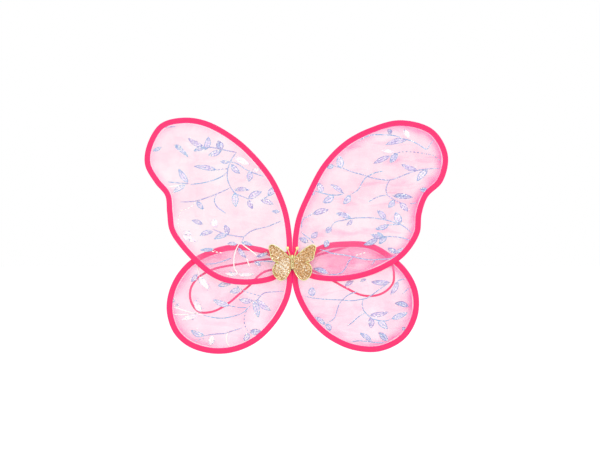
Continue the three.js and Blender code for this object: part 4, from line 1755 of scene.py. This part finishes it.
def middle_strip():
    height = STRIP_TOP - STRIP_FOOT
    outer = strip_outline(STRIP_WIDTH, height, STRIP_WIDTH * 0.45)
    strip = new_mesh()
    plate(strip, outer, BUTTERFLY_Y + PLATE / 2, BUTTERFLY_Y - PLATE / 2)
    bead(strip, Vector((0, BUTTERFLY_Y - 0.5, KNOB_Z)) * MM, KNOB)
    made = piece("butterfly_gold_strip", strip, GOLD, "centre", smooth=False)
    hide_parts("butterfly_body_backing")
    bed = new_mesh()
    front = BUTTERFLY_Y + GLITTER_FRONT
    narrow = strip_outline(STRIP_WIDTH - 2 * STRIP_RIM, height - 2 * STRIP_RIM, 0.5)
    plate(bed, narrow, BUTTERFLY_Y - 0.3, front)
    made = glitter_piece("butterfly_strip_glitter_bed", bed, "centre")
    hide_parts("butterfly_body_glitter")
    flakes = flakes_on(outer, 1.2, front, random.Random("strip"), lambda spot: 0.55)
    on_the_knob = [v for v in flakes.verts if v.co.z > STRIP_FLAKES_TOP * MM]
    bmesh.ops.delete(flakes, geom=on_the_knob, context="VERTS")
    glitter_piece("butterfly_strip_glitter_flakes", flakes, "centre")


middle_strip()

# %% [markdown]
# ## Floor and light
#
# A plain pale floor lies just under the lowest point. The light is that of a white studio: the
# surroundings glow softly from all sides, a large light stands at the upper right, a weaker one at
# the left, and a third behind, so that folds and ribs still show their shape.

# %% Floor, lights and surroundings
FLOOR_GAP = 4 * MM
FLOOR_HALF = 8
FLOOR_GLOW = 0.87
WHITE = (1, 1, 1)
AIM = Vector((0, 0, 0.04))
SKY_GLOW = 0.8


def pale_floor():
    material, tree, shader = new_material(
        "pale floor", Roughness=0.8, Emission_Color=(*WHITE, 1), Emission_Strength=FLOOR_GLOW
    )
    colour = use(tree, UNEVEN_COLOUR, Place=object_place(tree), Patches_per_m=2.0, Amount=0.4,
                 Main=(0.15, 0.15, 0.15), Other=(0.13, 0.13, 0.13))
    feed(tree, shader, Base_Color=colour["Color"])
    return material


bm = bmesh.new()
bmesh.ops.create_grid(bm, x_segments=4, y_segments=4, size=FLOOR_HALF)
bmesh.ops.translate(bm, verts=bm.verts, vec=(0, 0, cad_box[0].z - FLOOR_GAP))
floor_mesh = bpy.data.meshes.new("floor")
bm.to_mesh(floor_mesh)
bm.free()
floor_mesh.materials.append(pale_floor())
floor = bpy.data.objects.new("floor", floor_mesh)
bpy.context.scene.collection.objects.link(floor)


def soft_light(name, place, power, size):
    """A large square light aimed at the middle of the wings."""
    data = bpy.data.lights.new(name, "AREA")
    data.energy = power
    data.size = size
    light = bpy.data.objects.new(name, data)
    light.location = place
    light.rotation_euler = (AIM - Vector(place)).to_track_quat("-Z", "Y").to_euler()
    bpy.context.scene.collection.objects.link(light)


soft_light("key light", (1.3, -1.9, 1.7), 26, 0.9)
soft_light("fill light", (-1.6, -1.6, 0.5), 8, 1.2)
soft_light("back light", (0.6, 1.8, 1.2), 9, 0.7)

surroundings = bpy.data.worlds.new("white studio")
bpy.context.scene.world = surroundings
surroundings.use_nodes = True
sky = surroundings.node_tree
glow = sky.nodes["Background"]
glow.inputs["Color"].default_value = (*WHITE, 1)
glow.inputs["Strength"].default_value = SKY_GLOW
seen = add_node(sky, "Background", {"Color": WHITE, "Strength": 1.0})
seen_or_lit = add_node(sky, "MixShader", {
    0: add_node(sky, "LightPath").outputs["Is Camera Ray"],
    1: glow.outputs[0], 2: seen.outputs[0],
})
sky.links.new(seen_or_lit.outputs[0], sky.nodes["World Output"].inputs["Surface"])
bpy.context.scene.view_settings.view_transform = "Standard"
print("floor at", round(floor_mesh.vertices[0].co.z / MM, 1), "mm")
